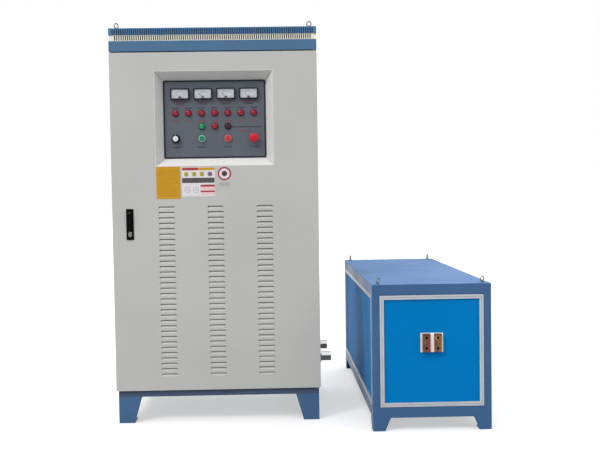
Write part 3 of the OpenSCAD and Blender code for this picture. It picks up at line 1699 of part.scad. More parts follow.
cabinet_base();
floor_trays();
cabinet_frame();
cabinet_panels();
top_band();
vent_grille();
roof_cap();
lifting_eyes();
hinge_brackets();
door_skin();
door_stiffeners();
door_gasket();
recess_surround();
control_plate();
meter_cases();
meter_dials();
meter_windows();
meter_needle_1();
meter_needle_2();
meter_needle_3();
meter_needle_4();
lamp_bodies();
red_lamp_lenses();
green_lamp_lens();
push_button_collars();
start_button();
stop_button();
emergency_stop_body();
emergency_stop_stem();
emergency_stop_head();
power_potentiometer();
power_knob();
lock_plate();
lock_rotor();
lock_handle();
lock_button();
blank_plates();
mounting_plate();
main_breaker();
breaker_toggle();
main_contactor();
cold_plate();
power_modules();
capacitor_cans();
dc_reactor();
control_board();
water_pipes();
cable_glands();
fan_frame();
fan_rotor();
box_frame();
box_roof();
box_panels();
box_trims();
terminal_insulator();
output_terminals();
transformer_core();
transformer_winding();
resonance_capacitors();
busbars();
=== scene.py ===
# %% [markdown]
# # An induction heating machine, dressed for the camera
# The packed model brings every solid of the machine in metres, each one at its real place.
# This lesson gives those solids their finishes, and swaps the small controls that need rounder
# forms for finer ones. It starts by loading the frame.

# %% Load the frame
import bpy
import bmesh
import math
import random
from mathutils import Matrix, Vector


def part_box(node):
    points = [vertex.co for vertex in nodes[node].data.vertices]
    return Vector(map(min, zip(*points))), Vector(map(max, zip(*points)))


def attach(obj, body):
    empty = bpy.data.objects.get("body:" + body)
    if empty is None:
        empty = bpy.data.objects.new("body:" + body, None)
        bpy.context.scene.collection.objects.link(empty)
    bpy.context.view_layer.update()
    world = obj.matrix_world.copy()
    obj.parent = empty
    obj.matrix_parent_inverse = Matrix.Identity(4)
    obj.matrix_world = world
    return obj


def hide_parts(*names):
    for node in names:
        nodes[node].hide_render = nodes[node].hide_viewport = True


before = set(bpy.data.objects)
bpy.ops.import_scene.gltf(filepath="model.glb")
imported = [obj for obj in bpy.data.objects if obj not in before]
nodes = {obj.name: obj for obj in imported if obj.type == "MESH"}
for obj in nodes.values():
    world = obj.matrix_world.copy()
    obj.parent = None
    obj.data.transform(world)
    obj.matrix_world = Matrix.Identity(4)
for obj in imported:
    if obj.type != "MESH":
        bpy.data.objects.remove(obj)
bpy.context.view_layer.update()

# %% [markdown]
# ## Colours and nodes
# Colours are picked as sRGB hex values, and Blender works with linear light, so one function
# turns them. A second one adds a node to a tree with its settings, values and links. The frame
# is in metres, and one more function gives a solid's box in millimetres.

# %% Colour, node and box helpers
MM = 0.001


def linear(hexcode):
    parts = [int(hexcode[k:k + 2], 16) / 255 for k in (1, 3, 5)]
    return tuple(p / 12.92 if p <= 0.04045 else ((p + 0.055) / 1.055) ** 2.4 for p in parts) + (1.0,)


def add(tree, kind, values=None, links=None, **settings):
    made = tree.nodes.new(kind)
    for name, value in settings.items():
        setattr(made, name, value)
    for name, value in (values or {}).items():
        made.inputs[name].default_value = value
    for name, socket in (links or {}).items():
        tree.links.new(socket, made.inputs[name])
    return made


def box_mm(name):
    return [Vector(corner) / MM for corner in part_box(name)]


def placed(name, data):
    made = bpy.data.objects.new(name, data)
    bpy.context.scene.collection.objects.link(made)
    return made


print("mid grey", [round(v, 3) for v in linear("#808080")])

# %% [markdown]
# ## Camera
# The photograph was taken with an ordinary lens from about 3.5 m, at chest height. The camera's
# place and its turn in degrees come from a fit to the corners of both units. The small sideways
# shift is there because the picture's middle isn't quite where the lens pointed.

# %% Camera
CAMERA_PLACE = (-0.1005, -3.9426, 1.0024)
CAMERA_TURN = (87.7446, 0.8641, -1.1587)
FOCAL_PX = 797.83
IMAGE_W = 600
AXIS_PX = 289.4

scene = bpy.context.scene
lens_data = bpy.data.cameras.new("camera")
lens_data.sensor_width = 36
lens_data.lens = FOCAL_PX * lens_data.sensor_width / IMAGE_W
lens_data.shift_x = (IMAGE_W / 2 - AXIS_PX) / IMAGE_W
lens_data.clip_end = 200
camera = placed("camera", lens_data)
camera.location = CAMERA_PLACE
camera.rotation_euler = [math.radians(angle) for angle in CAMERA_TURN]
scene.camera = camera
print("lens", round(lens_data.lens, 2), "mm")

# %% [markdown]
# ## Sky, lamps and floor
# The machine stood outdoors in soft light from above and from the left. A pale sky that is
# brighter overhead gives the bright lower slope and the dark upper slope of the control recess,
# and one broad lamp gives the controls their soft shadows. What the camera, metal and glass see
# of the sky is plain white, as in the picture. The floor keeps a shadow, which a share of plain
# white lightens for the eye alone, and it throws less light back up than it shows.

# %% Sky
SKY_LOW = 0.2
SKY_HIGH = 2.15

scene.view_settings.view_transform = "Standard"
world = bpy.data.worlds.new("soft_sky")
scene.world = world
world.use_nodes = True
sky = world.node_tree
sky.nodes.clear()


def seen_by_eye(tree):
    path = add(tree, "ShaderNodeLightPath")
    glossy = add(tree, "ShaderNodeMath", operation="MAXIMUM",
                 links={0: path.outputs["Is Camera Ray"], 1: path.outputs["Is Glossy Ray"]})
    return add(tree, "ShaderNodeMath", operation="MAXIMUM",
               links={0: glossy.outputs[0], 1: path.outputs["Is Transmission Ray"]}).outputs[0]


direction = add(sky, "ShaderNodeTexCoord")
height = add(sky, "ShaderNodeSeparateXYZ", links={0: direction.outputs["Generated"]})
strength = add(sky, "ShaderNodeMapRange", links={"Value": height.outputs["Z"]},
               values={"From Min": 0.0, "From Max": 1.0, "To Min": SKY_LOW, "To Max": SKY_HIGH})
lighting = add(sky, "ShaderNodeBackground", links={"Strength": strength.outputs[0]},
               values={"Color": linear("#FAFBFF")})
backdrop = add(sky, "ShaderNodeBackground", values={"Color": (1, 1, 1, 1), "Strength": 1.0})
either = add(sky, "ShaderNodeMixShader",
             links={0: seen_by_eye(sky), 1: lighting.outputs[0], 2: backdrop.outputs[0]})
add(sky, "ShaderNodeOutputWorld", links={"Surface": either.outputs[0]})
print("sky from", SKY_LOW, "to", SKY_HIGH)

# %% Key and fill lamps


def lamp(name, place, aim, size, power, colour="#FFFFFF"):
    data = bpy.data.lights.new(name, "AREA")
    data.shape = "DISK"
    data.size = size
    data.energy = power
    data.color = linear(colour)[:3]
    made = placed(name, data)
    made.location = place
    made.rotation_euler = (Vector(aim) - Vector(place)).to_track_quat("-Z", "Y").to_euler()
    print(name, power, "W")


lamp("key", (-4.75, -5.25, 6.8), (-0.2, 0, 0.8), 2.2, 360, "#FFFBF4")
lamp("fill_back", (3.5, 6.5, 4.5), (0, 0, 0.8), 4.0, 200)
lamp("fill_right", (7.0, -2.5, 3.0), (0, 0, 0.8), 3.0, 45)

# %% Floor
FLOOR_SHOWN = 0.86
FLOOR_BOUNCE = 0.34
FLOOR_GLOW = 0.45

floor_mesh = bpy.data.meshes.new("floor")
half = 40.0
yard = [(x * half, y * half, 0) for x, y in ((-1, -1), (1, -1), (1, 1), (-1, 1))]
floor_mesh.from_pydata(yard, [], [(0, 1, 2, 3)])
floor = placed("floor", floor_mesh)
floor.location.z = -0.1 * MM
floor_paint = bpy.data.materials.new("pale_floor")
floor_paint.use_nodes = True
ground = floor_paint.node_tree
ground.nodes.clear()
lit = add(ground, "ShaderNodeBsdfDiffuse", values={"Color": (FLOOR_SHOWN,) * 3 + (1,)})
glow = add(ground, "ShaderNodeEmission", values={"Color": (1, 1, 1, 1), "Strength": 1.0})
shown = add(ground, "ShaderNodeMixShader", values={0: FLOOR_GLOW},
            links={1: lit.outputs[0], 2: glow.outputs[0]})
bounced = add(ground, "ShaderNodeBsdfDiffuse", values={"Color": (FLOOR_BOUNCE,) * 3 + (1,)})
chosen = add(ground, "ShaderNodeMixShader",
             links={0: seen_by_eye(ground), 1: bounced.outputs[0], 2: shown.outputs[0]})
add(ground, "ShaderNodeOutputMaterial", links={"Surface": chosen.outputs[0]})
floor_mesh.materials.append(floor_paint)
print("floor", 2 * half, "m wide")

# %% [markdown]
# ## What all finishes share
# A finish starts from a Principled shader and the object's own coordinates, which here are real
# metres, so a pattern's size is given in real millimetres. Every real surface drifts in tone,
# changes its gloss from place to place and has a fine relief. Dust, scuffs and stains lie over
# the first colour where a height or a noise passes a level, and crevices get painted shade. One
# class holds these steps, and the span is where most of a noise's values lie.

# %% Shared surface
EVEN = (1.0, 1.0, 1.0)
SPAN = {"From Min": 0.3, "From Max": 0.7}


class Surface:
    def __init__(self, name, rough, metallic=0.0, **sockets):
        self.material = bpy.data.materials.new(name)
        self.material.use_nodes = True
        self.tree = self.material.node_tree
        self.tree.nodes.clear()
        self.shader = add(self.tree, "ShaderNodeBsdfPrincipled",
                          values={"Metallic": metallic, "Roughness": rough, **sockets})
        add(self.tree, "ShaderNodeOutputMaterial", links={"Surface": self.shader.outputs[0]})
        places = add(self.tree, "ShaderNodeTexCoord")
        self.coords = places.outputs["Object"]
        self.axes = add(self.tree, "ShaderNodeSeparateXYZ", links={0: self.coords}).outputs
        self.facing = add(self.tree, "ShaderNodeSeparateXYZ", links={0: places.outputs["Normal"]}).outputs

    def lumps(self, size_mm, detail=2.0, stretch=EVEN, rough=0.5):
        scale = [1000 / size_mm * share for share in stretch]
        sized = add(self.tree, "ShaderNodeMapping", values={"Scale": scale}, links={"Vector": self.coords})
        return add(self.tree, "ShaderNodeTexNoise", links={"Vector": sized.outputs[0]},
                   values={"Scale": 1.0, "Detail": detail, "Roughness": rough}).outputs["Fac"]

    def drift(self, light, dark, size_mm, detail=3.0):
        amount = add(self.tree, "ShaderNodeMapRange", links={"Value": self.lumps(size_mm, detail)},
                     values=SPAN)
        tones = add(self.tree, "ShaderNodeMix", data_type="RGBA", links={0: amount.outputs[0]},
                    values={6: linear(light), 7: linear(dark)})
        self.colour = tones.outputs[2]
        return self

    def over(self, hexcode, value, start, end, most=1.0, within=None):
        mask = add(self.tree, "ShaderNodeMapRange", links={"Value": value},
                   values={"From Min": start, "From Max": end, "To Max": most})
        if within:
            limit = add(self.tree, "ShaderNodeMapRange", links={"Value": within[0]},
                        values={"From Min": within[1], "From Max": within[2], "To Max": most})
            self.tree.links.new(limit.outputs[0], mask.inputs["To Max"])
        coat = add(self.tree, "ShaderNodeMix", data_type="RGBA", values={7: linear(hexcode)},
                   links={0: mask.outputs[0], 6: self.colour})
        self.colour = coat.outputs[2]
        return self

    # Painted shade: darkens the colour where an ambient occlusion test finds near surfaces, as in crevices
    # and grooves.
    def painted_crevice_shade(self, hexcode, reach_mm, amount, full=0.3):
        nearby = add(self.tree, "ShaderNodeAmbientOcclusion", samples=6, only_local=True,
                     values={"Distance": reach_mm * MM})
        return self.over(hexcode, nearby.outputs["AO"], 0.95, full, amount)

    def gloss(self, low, high, size_mm, stretch=EVEN):
        level = add(self.tree, "ShaderNodeMapRange", links={"Value": self.lumps(size_mm, 4.0, stretch)},
                    values={**SPAN, "To Min": low, "To Max": high})
        self.tree.links.new(level.outputs[0], self.shader.inputs["Roughness"])
        return self

    def relief(self, size_mm, depth_mm, strength=1.0, stretch=EVEN, value=None):
        bump = add(self.tree, "ShaderNodeBump", links={"Height": value or self.lumps(size_mm, 2.0, stretch)},
                   values={"Distance": depth_mm * MM, "Strength": strength})
        self.tree.links.new(bump.outputs[0], self.shader.inputs["Normal"])
        return self

    def done(self):
        self.tree.links.new(self.colour, self.shader.inputs["Base Color"])
        print("finish", self.material.name)
        return self.material


def dress(material, *names):
    for name in names:
        made = nodes[name].data.materials
        made.clear()
        made.append(material)


print("steps of a finish", [step for step in vars(Surface) if not step.startswith("_")])


# %% [markdown]
# ## Powder coat on folded steel sheet
# Powder coat is sprayed dry and baked, and it flows into a fine orange peel about 2 mm across,
# which softens reflections. Peel this fine doesn't show from the camera, so it is drawn at 5 mm,
# where it still breaks up the gloss. Near the floor the coat gathers a little dust.

# %% Powder coats


def powder_coat(name, light, dark, dusty=0.35, crevice_shade=0.7, reach_mm=6, full=0.3):
    coat = Surface(name, 0.45, IOR=1.4).drift(light, dark, 420)
    coat.over("#9C988C", coat.lumps(35, 6.0), 0.3, 0.7, dusty, (coat.axes["Z"], 120 * MM, 0.0))
    # Painted shade in the crevices and slots.
    coat.painted_crevice_shade("#3E3A35", reach_mm, crevice_shade, full)
    return coat.gloss(0.39, 0.51, 160).relief(5, 0.05, 0.5).done()


dress(powder_coat("powder_coat_warm_grey_sheet", "#B5B5B2", "#B0B0AD"),
      "door_skin", "cabinet_panels", "cabinet_frame", "door_stiffeners")
dress(powder_coat("powder_coat_beige_grille", "#E4E0D2", "#DBD7C8", crevice_shade=1.0, reach_mm=9, full=0.5),
      "vent_grille")
dress(powder_coat("powder_coat_clean_recess", "#CFCFCC", "#CACAC7", dusty=0.0, crevice_shade=0.3),
      "recess_surround")

# %% [markdown]
# ## Blue enamel on the bands, feet and frame
# The blue parts are sprayed with an air-dried enamel, glossier than the powder coat. Feet and
# frames get knocked, so scuffs show where a stretched noise passes a high level, and only near
# the floor. The roof of the low unit is the same paint, dulled by dust and written lighter as
# painted sky light on its top. The flutes of the cap are darkened in their grooves as painted
# shade, and the rail over the cabinet's feet is darkened along its length as painted shade under
# the door.

# %% Blue paints


def enamel(name, light, dark, index=1.3, rough=0.4, scuff="#6E86A0", scuffed=0.3, shade_in_crevices=(5, 0.85, 0.3)):
    paint = Surface(name, rough, IOR=index).drift(light, dark, 300)
    marks = paint.lumps(28, 8.0, (1.0, 1.0, 0.35), 0.7)
    paint.over(scuff, marks, 0.62, 0.70, scuffed, (paint.axes["Z"], 180 * MM, 20 * MM))
    # Painted shade in the crevices and grooves.
    paint.painted_crevice_shade("#101C30", *shade_in_crevices)
    return paint.gloss(rough - 0.05, rough + 0.05, 220).relief(6, 0.04, 0.3)


dress(enamel("air_dried_enamel_band_blue", "#496B8B", "#446585").done(), "top_band")
# Painted shade: the cap's flutes are darkened deeply in their grooves.
dress(enamel("enamel_cap_blue_painted_groove_shade", "#46719A", "#416B93", shade_in_crevices=(6, 1.0, 0.72)).done(), "roof_cap")
dress(enamel("air_dried_enamel_frame_blue", "#3C6089", "#385B83").done(), "box_frame")
# Painted light: the roof is written lighter than the frame's blue for the sky above; its roughness is dust.
dress(enamel("dusty_enamel_roof_blue_painted_sky_light", "#4A6F9C", "#456A97", 1.25, 0.7, scuffed=0.1).done(), "box_roof")
dress(enamel("gloss_enamel_bright_blue", "#0579BE", "#0575B7", 1.04, 0.42, "#2E86C6").done(), "box_panels")
RAIL_H = 27 * MM
rail_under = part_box("cabinet_base")[1].z - RAIL_H
base_blue = enamel("air_dried_enamel_base_blue", "#44658A", "#3F5F83", 1.25)
# Painted shade: the top of the base, the rail under the door, is darkened all round.
base_blue.over("#424A58", base_blue.axes["Z"], rail_under, rail_under + 5 * MM, 0.75)
dress(base_blue.done(), "cabinet_base")

# %% [markdown]
# ## Bare and plated metals
# The trim round each panel is extruded aluminium, anodised to a soft satin, with faint drawing
# lines. Trays and the mounting plate are galvanised sheet, whose zinc froze in spangles about
# 12 mm across. Small hardware is zinc plated and a little cloudy. The water pipes are turned
# stainless steel, so their lines run round them. Outside the cabinet, they carry painted
# reflections that lie by the way each side faces: grey at the very top, dark ground with a grey
# streak below.

# %% Metals
trim_metal = Surface("anodised_aluminium_extrusion", 0.38, 0.55)
# The trim's grooves get painted shade.
trim_metal.drift("#B4B8BC", "#AAAEB3", 90).painted_crevice_shade("#4C5258", 3, 0.9).gloss(0.32, 0.46, 8, (1, 1, 0.1))
trim_metal = trim_metal.relief(2, 0.02, 0.3, (0.2, 1, 0.2)).done()
dress(trim_metal, "box_trims")


def spangled(name, light, dark, size_mm, rough):
    zinc = Surface(name, rough, 0.85).drift(light, light, 200)
    cells = add(zinc.tree, "ShaderNodeTexVoronoi", links={"Vector": zinc.coords},
                values={"Scale": 1000 / size_mm}).outputs["Color"]
    frost = add(zinc.tree, "ShaderNodeMapRange", links={"Value": cells},
                values={"To Min": rough - 0.1, "To Max": rough + 0.12})
    zinc.tree.links.new(frost.outputs[0], zinc.shader.inputs["Roughness"])
    return zinc.over(dark, cells, 0, 1).relief(2, 0.02, 0.3).done()


galvanised = spangled("hot_dip_galvanised_sheet", "#C2C8CA", "#A7AEB2", 12, 0.42)
plated = spangled("zinc_plated_steel_hardware", "#8E9290", "#70746F", 3, 0.42)
dress(galvanised, "floor_trays", "mounting_plate")
dress(plated, "hinge_brackets", "lock_rotor", "lifting_eyes")

pipe_steel = Surface("turned_stainless_steel_pipe", 0.22, 0.9).drift("#F4F5F6", "#E6E8E9", 26)
cabinet_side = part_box("cabinet_panels")[1].x
outside = (pipe_steel.axes["X"], cabinet_side - 2 * MM, cabinet_side)
# Painted reflections outside the cabinet, laid by how each side faces, up or down.
for film, start, end, most in (("#2E2F31", 0.38, 0.2, 0.95), ("#6E7072", -0.25, -0.5, 0.8),
                               ("#2A2B2D", -0.55, -0.75, 0.9), ("#77797B", 0.86, 0.95, 0.65)):
    pipe_steel.over(film, pipe_steel.facing["Z"], start, end, most, outside)
dress(pipe_steel.gloss(0.16, 0.3, 3.0, (1, 0.1, 0.1)).done(), "water_pipes")

milled = Surface("milled_aluminium_plate", 0.36, 0.9).drift("#C4C8CA", "#AEB3B6", 60)
milled = milled.gloss(0.28, 0.44, 6, (0.1, 1, 1)).relief(3, 0.03, 0.3, (0.1, 1, 1)).done()
dress(milled, "cold_plate")

# %% [markdown]
# ## Copper that has been hot
# The two output terminals are sawn from copper bar, and heat leaves bands from straw over mauve
# to brown. In the picture the left bar is brown on its outer side, both are mauve towards the
# gap, and the right one has a straw tint. So the tint follows the place across the bars,
# wandering a little by a noise, and finer noises add tan streaks and dark spots.

# %% Copper
bars_low, bars_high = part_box("output_terminals")
BAR_W = 31 * MM
FADE = 2 * MM
hot_copper = Surface("heat_stained_copper_bar", 0.42, 0.55).drift("#70472F", "#5C3827", 22, 2.0)
wander = add(hot_copper.tree, "ShaderNodeMapRange", links={"Value": hot_copper.lumps(14, 3.0, (1, 1, 0.5))},
             values={**SPAN, "To Min": -9 * MM, "To Max": 9 * MM})
across = add(hot_copper.tree, "ShaderNodeMath", operation="ADD",
             links={0: hot_copper.axes["X"], 1: wander.outputs[0]}).outputs[0]
mauve_x = bars_low.x + 0.66 * BAR_W
straw_x = bars_high.x - 0.5 * BAR_W
hot_copper.over("#6F383F", across, mauve_x - FADE, mauve_x + FADE)
hot_copper.over("#6B5A27", across, straw_x - FADE, straw_x + FADE)
hot_copper.over("#A87C44", hot_copper.lumps(15, 3.0, (1, 1, 0.3)), 0.56, 0.68, 0.75)
hot_copper.over("#43241F", hot_copper.lumps(8, 3.0), 0.6, 0.72, 0.7)
hot_copper.over("#4A2A2A", hot_copper.axes["Z"], bars_high.z - 12 * MM, bars_high.z - 3 * MM, 0.7)
# Painted shade in the crevices of the bars.
hot_copper.painted_crevice_shade("#1C100E", 6, 0.8)
hot_copper = hot_copper.gloss(0.3, 0.55, 12).relief(2.5, 0.08, 0.5, (1, 1, 0.2)).done()
dress(hot_copper, "output_terminals")

clean_copper = Surface("drawn_copper_bar", 0.32, 0.95).drift("#C07A55", "#A8623E", 70)
clean_copper = clean_copper.gloss(0.24, 0.42, 10, (0.1, 1, 1)).relief(2, 0.02, 0.3, (0.1, 1, 1)).done()
dress(clean_copper, "busbars", "transformer_winding")

# %% [markdown]
# ## Plastics, rubber and laminate
# Moulded plastics carry the spark-eroded grain of their mould, 0.5 mm or finer, drawn here at
# 1 mm, and mould flow changes their gloss from place to place. The terminal window is
# glass-fibre laminate, whose weave shows faintly under the resin.

# %% Plastics


def moulded(name, light, dark, rough, grain_mm=1.0, grain_depth=0.02, index=1.4):
    plastic = Surface(name, rough, IOR=index).drift(light, dark, 30)
    return plastic.gloss(rough - 0.06, rough + 0.06, 14).relief(grain_mm, grain_depth, 0.5).done()


black_abs = moulded("moulded_black_abs", "#101114", "#0B0C0E", 0.4, index=1.2)
dress(black_abs, "breaker_toggle", "lock_button")
dress(moulded("glass_filled_black_nylon", "#22242A", "#1B1D22", 0.5, index=1.3),
      "cable_glands", "power_potentiometer", "main_breaker")
dress(moulded("moulded_pale_pbt", "#D9D8D0", "#CBCAC1", 0.45),
      "main_contactor", "resonance_capacitors", "emergency_stop_stem")
dress(moulded("moulded_fan_pbt", "#232529", "#1B1D21", 0.42), "fan_frame", "fan_rotor")
dress(moulded("epdm_foam_gasket", "#25272A", "#1B1C1F", 0.85, 1.4, 0.2), "door_gasket")

laminate = Surface("glass_fibre_laminate", 0.5, IOR=1.52).drift("#F3F1E8", "#E6E2D4", 40)
weave = add(laminate.tree, "ShaderNodeTexWave", links={"Vector": laminate.coords},
            values={"Scale": 300, "Distortion": 0.4}, bands_direction="Z")
dress(laminate.relief(1, 0.04, 0.3, value=weave.outputs["Fac"]).done(), "terminal_insulator")

# %% [markdown]
# Some solids stand for two materials, such as a board and the chips on it, or a can and its end.
# Their front parts lie nearer to the door, so the second finish starts at a depth in the cabinet.

# %% Two finishes by depth


def split_by_depth(solid, name, depth_mm, front, back, rough=0.45, metallic=0.0):
    both = Surface(name, rough, metallic).drift(*back, 25)
    depth = both.axes["Y"]
    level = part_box(solid)[0].y + depth_mm * MM
    both.over(front[0], depth, level, level - 0.2 * MM)
    both.over(front[1], both.lumps(20, 3.0), 0.3, 0.7, 1.0, (depth, level, level - 0.2 * MM))
    dress(both.gloss(rough - 0.08, rough + 0.1, 18).relief(2, 0.03, 0.3).done(), solid)


split_by_depth("control_board", "solder_mask_and_chips", 15, ("#202226", "#2B2E33"), ("#1E6A44", "#175A38"))
split_by_depth("power_modules", "module_case_and_pads", 4.9, ("#B98058", "#A87048"), ("#2B2D32", "#222428"),
               0.4, 0.2)
split_by_depth("capacitor_cans", "capacitor_can_sleeve", 14, ("#1B1C1F", "#242629"), ("#2C4F86", "#27477A"),
               0.35, 0.1)
split_by_depth("dc_reactor", "varnished_core_and_coil", 35, ("#A4582E", "#8A4826"), ("#43464C", "#36393F"),
               0.4, 0.2)
core_metal = Surface("varnished_silicon_steel_core", 0.45, 0.4).drift("#4A4D53", "#3B3E44", 30)
sheets = add(core_metal.tree, "ShaderNodeTexWave", links={"Vector": core_metal.coords},
             values={"Scale": 260, "Distortion": 0.2}, bands_direction="Y")
dress(core_metal.relief(1, 0.1, 0.4, value=sheets.outputs["Fac"]).done(), "transformer_core")

# %% [markdown]
# ## Modelling helpers
# Round controls are turned on a lathe in real life, so here a profile of radius and height is
# swept round an axis. Flat ones are cut from sheet, so an outline is pulled to a thickness, with
# or without a hole. Both add to one bmesh in millimetres. The last helper turns the bmesh into
# an object in metres, rounds its sharp edges with a bevel, and says which body it rides on.

# %% Turning, cutting and placing
STEPS = 48


def circle(radius, x=0.0, z=0.0, steps=STEPS):
    angles = [2 * math.pi * k / steps for k in range(steps)]
    return [(x + radius * math.cos(a), z + radius * math.sin(a)) for a in angles]


def bow(radius, x, z, degrees, tall=None):
    angles = [math.radians(a) for a in degrees]
    return [(x + radius * math.cos(a), z + (tall or radius) * math.sin(a)) for a in angles]


def rounded(w, h, r, x=0.0, z=0.0, steps=8):
    points = []
    for cx, cz, start in ((1, 1, 0), (-1, 1, 90), (-1, -1, 180), (1, -1, 270)):
        corner = (x + cx * (w / 2 - r), z + cz * (h / 2 - r))
        points += bow(r, *corner, [start + 90 * k / steps for k in range(steps + 1)])
    return points


def turned(bm, x, y, z, profile, steps=STEPS, axis="-Y"):
    def spot(radius, out, angle):
        c, s = radius * math.cos(angle), radius * math.sin(angle)
        if axis == "+X":
            return (x + out, y + c, z + s)
        return (x + c, y + (out if axis == "+Y" else -out), z + s)
    rings = []
    for radius, out in profile:
        count = 1 if radius == 0 else steps
        rings.append([bm.verts.new(spot(radius, out, 2 * math.pi * k / steps)) for k in range(count)])
    for a, b in zip(rings, rings[1:]):
        for k in range(steps):
            corners = [a[k % len(a)], a[(k + 1) % len(a)], b[(k + 1) % len(b)], b[k % len(b)]]
            corners = list(dict.fromkeys(corners))
            if len(corners) > 2:
                bm.faces.new(corners)


def cut(bm, outline, back, front, hole=None):
    loops = []
    for points in (outline, hole) if hole else (outline,):
        loops.append([[bm.verts.new((a, y, b)) for a, b in points] for y in (back, front)])
    for loop in loops:
        count = len(loop[0])
        for k in range(count):
            n = (k + 1) % count
            bm.faces.new([loop[0][k], loop[0][n], loop[1][n], loop[1][k]])
    for side in (0, 1):
        if hole:
            outer, inner = loops[0][side], loops[1][side]
            for k in range(len(outer)):
                n = (k + 1) % len(outer)
                bm.faces.new([outer[k], outer[n], inner[n], inner[k]])
        else:
            bm.faces.new(loops[0][side])


def piece(name, bm, material, body, slot, bevel=0.0, *replaced):
    bmesh.ops.remove_doubles(bm, verts=bm.verts, dist=0.001)
    bmesh.ops.recalc_face_normals(bm, faces=bm.faces)
    bmesh.ops.scale(bm, vec=(MM, MM, MM), verts=bm.verts)
    mesh = bpy.data.meshes.new(name)
    bm.to_mesh(mesh)
    bm.free()
    mesh.shade_smooth()
    mesh.set_sharp_from_angle(angle=math.radians(32))
    mesh.materials.append(material)
    made = placed(name, mesh)
    if bevel:
        edge = made.modifiers.new("rounded_edges", "BEVEL")
        edge.width = bevel * MM
        edge.segments = 2
        edge.limit_method = "ANGLE"
        edge.angle_limit = math.radians(40)
        edge.harden_normals = True
    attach(made, body)
    if replaced:
        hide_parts(*replaced)
    print(name, len(mesh.polygons), "faces on", body)


print("a circle has", STEPS, "steps")

# %% [markdown]
# ## Where the controls are
# Everything on the door is measured from the control plate. Its front face, its middle and its
# top edge come from the frame.

# %% Control plate places
plate_low, plate_high = box_mm("control_plate")
FACE = plate_low.y
MIDDLE = (plate_low.x + plate_high.x) / 2
TOP = plate_high.z
PLATE_W = plate_high.x - plate_low.x
PLATE_H = plate_high.z - plate_low.z
COLUMN = 57.4
METER_PITCH = 100.6
METER_Z = TOP - 60
LAMP_Z = TOP - 144
STATUS_Z = TOP - 202
BUTTON_Z = TOP - 256
METER_X = [MIDDLE + (k - 1.5) * METER_PITCH for k in range(4)]


def column_x(n):
    return MIDDLE + n * COLUMN


print("plate", round(PLATE_W), "x", round(PLATE_H), "mm, face at", round(FACE, 1))

# %% [markdown]
# ## Control plate
# The plate is steel under a printed film: a matt blue-grey field with a darker, rounded border.
# The film's texture of about 0.3 mm is drawn at 1.5 mm. The border could be painted by a mask,
# but a thin raised frame keeps its crisp edge from every side, so it is a cut piece.

# %% Control plate and border
BORDER = 6.5
BORDER_R = 8
film = Surface("screen_printed_polyester_film", 0.5, IOR=1.4).drift("#535861", "#4E535C", 200)
dress(film.gloss(0.44, 0.58, 60).relief(1.5, 0.03, 0.5).done(), "control_plate")
border_film = moulded("dark_printed_border_film", "#23262F", "#1F222A", 0.45, index=1.25)
plate_middle = (MIDDLE, TOP - PLATE_H / 2)
bm = bmesh.new()
cut(bm, rounded(PLATE_W, PLATE_H, BORDER_R, *plate_middle), FACE + 0.2, FACE - 0.8,
    rounded(PLATE_W - 2 * BORDER, PLATE_H - 2 * BORDER, BORDER_R, *plate_middle))
piece("plate_border", bm, border_film, "door", "plate_grey_paint", 0.3)

# %% [markdown]
# Each meter and each lamp has blank captions, which are short plain dashes in dull red or dark
# ink. Thin cut strips keep them crisp, and a seeded random length keeps them uneven.

# %% Blank captions
DASH_H = 2.2
DASH_GAP = 1.2
LINE_RISE = 1.7
CAPTION_DROP = 34
red_ink = moulded("dull_red_printing_ink", "#86404F", "#7B3A48", 0.6, index=1.2)
dark_ink = moulded("dark_printing_ink", "#31343D", "#2C2F37", 0.6, index=1.2)


def dashes(name, ink, rows):
    made = bmesh.new()
    for x, z, lengths in rows:
        left = x - (sum(lengths) + DASH_GAP * (len(lengths) - 1)) / 2
        for length in lengths:
            for rise in (-LINE_RISE, LINE_RISE):
                strip = rounded(length, DASH_H, 0.4, left + length / 2, z + rise, 2)
                cut(made, strip, FACE + 0.05, FACE - 0.12)
            left += length + DASH_GAP
    piece(name, made, ink, "door", "plate_grey_paint")


random.seed(11)


def caption(count, low=2.5, high=6.0):
    return [round(random.uniform(low, high), 1) for _ in range(count)]


red_rows = [(x, METER_Z - CAPTION_DROP, caption(9)) for x in METER_X]
red_rows += [(column_x(n), LAMP_Z - CAPTION_DROP, caption(6)) for n in range(-3, 4)]
red_rows += [(column_x(2.35), STATUS_Z - 22, caption(11))]
dark_rows = [(x, METER_Z - 43, caption(7)) for x in METER_X]
dark_rows += [(column_x(n), LAMP_Z + 23, caption(6)) for n in range(-3, 4)]
dark_rows += [(column_x(2.4), STATUS_Z - 4, caption(20, 4, 6))]
dark_rows += [(column_x(n), BUTTON_Z - 37, caption(7)) for n in (-3, -1, 1, 3)]
dashes("red_caption_dashes", red_ink, red_rows)
dashes("dark_caption_dashes", dark_ink, dark_rows)

# %% [markdown]
# ## Panel meters
# A panel meter is a moulded black frame round a clear window, with a white card behind and a
# dark cover over the pivot. The frame is cut with its window as a hole, and the pan, the pivot
# cover and the round back join it.

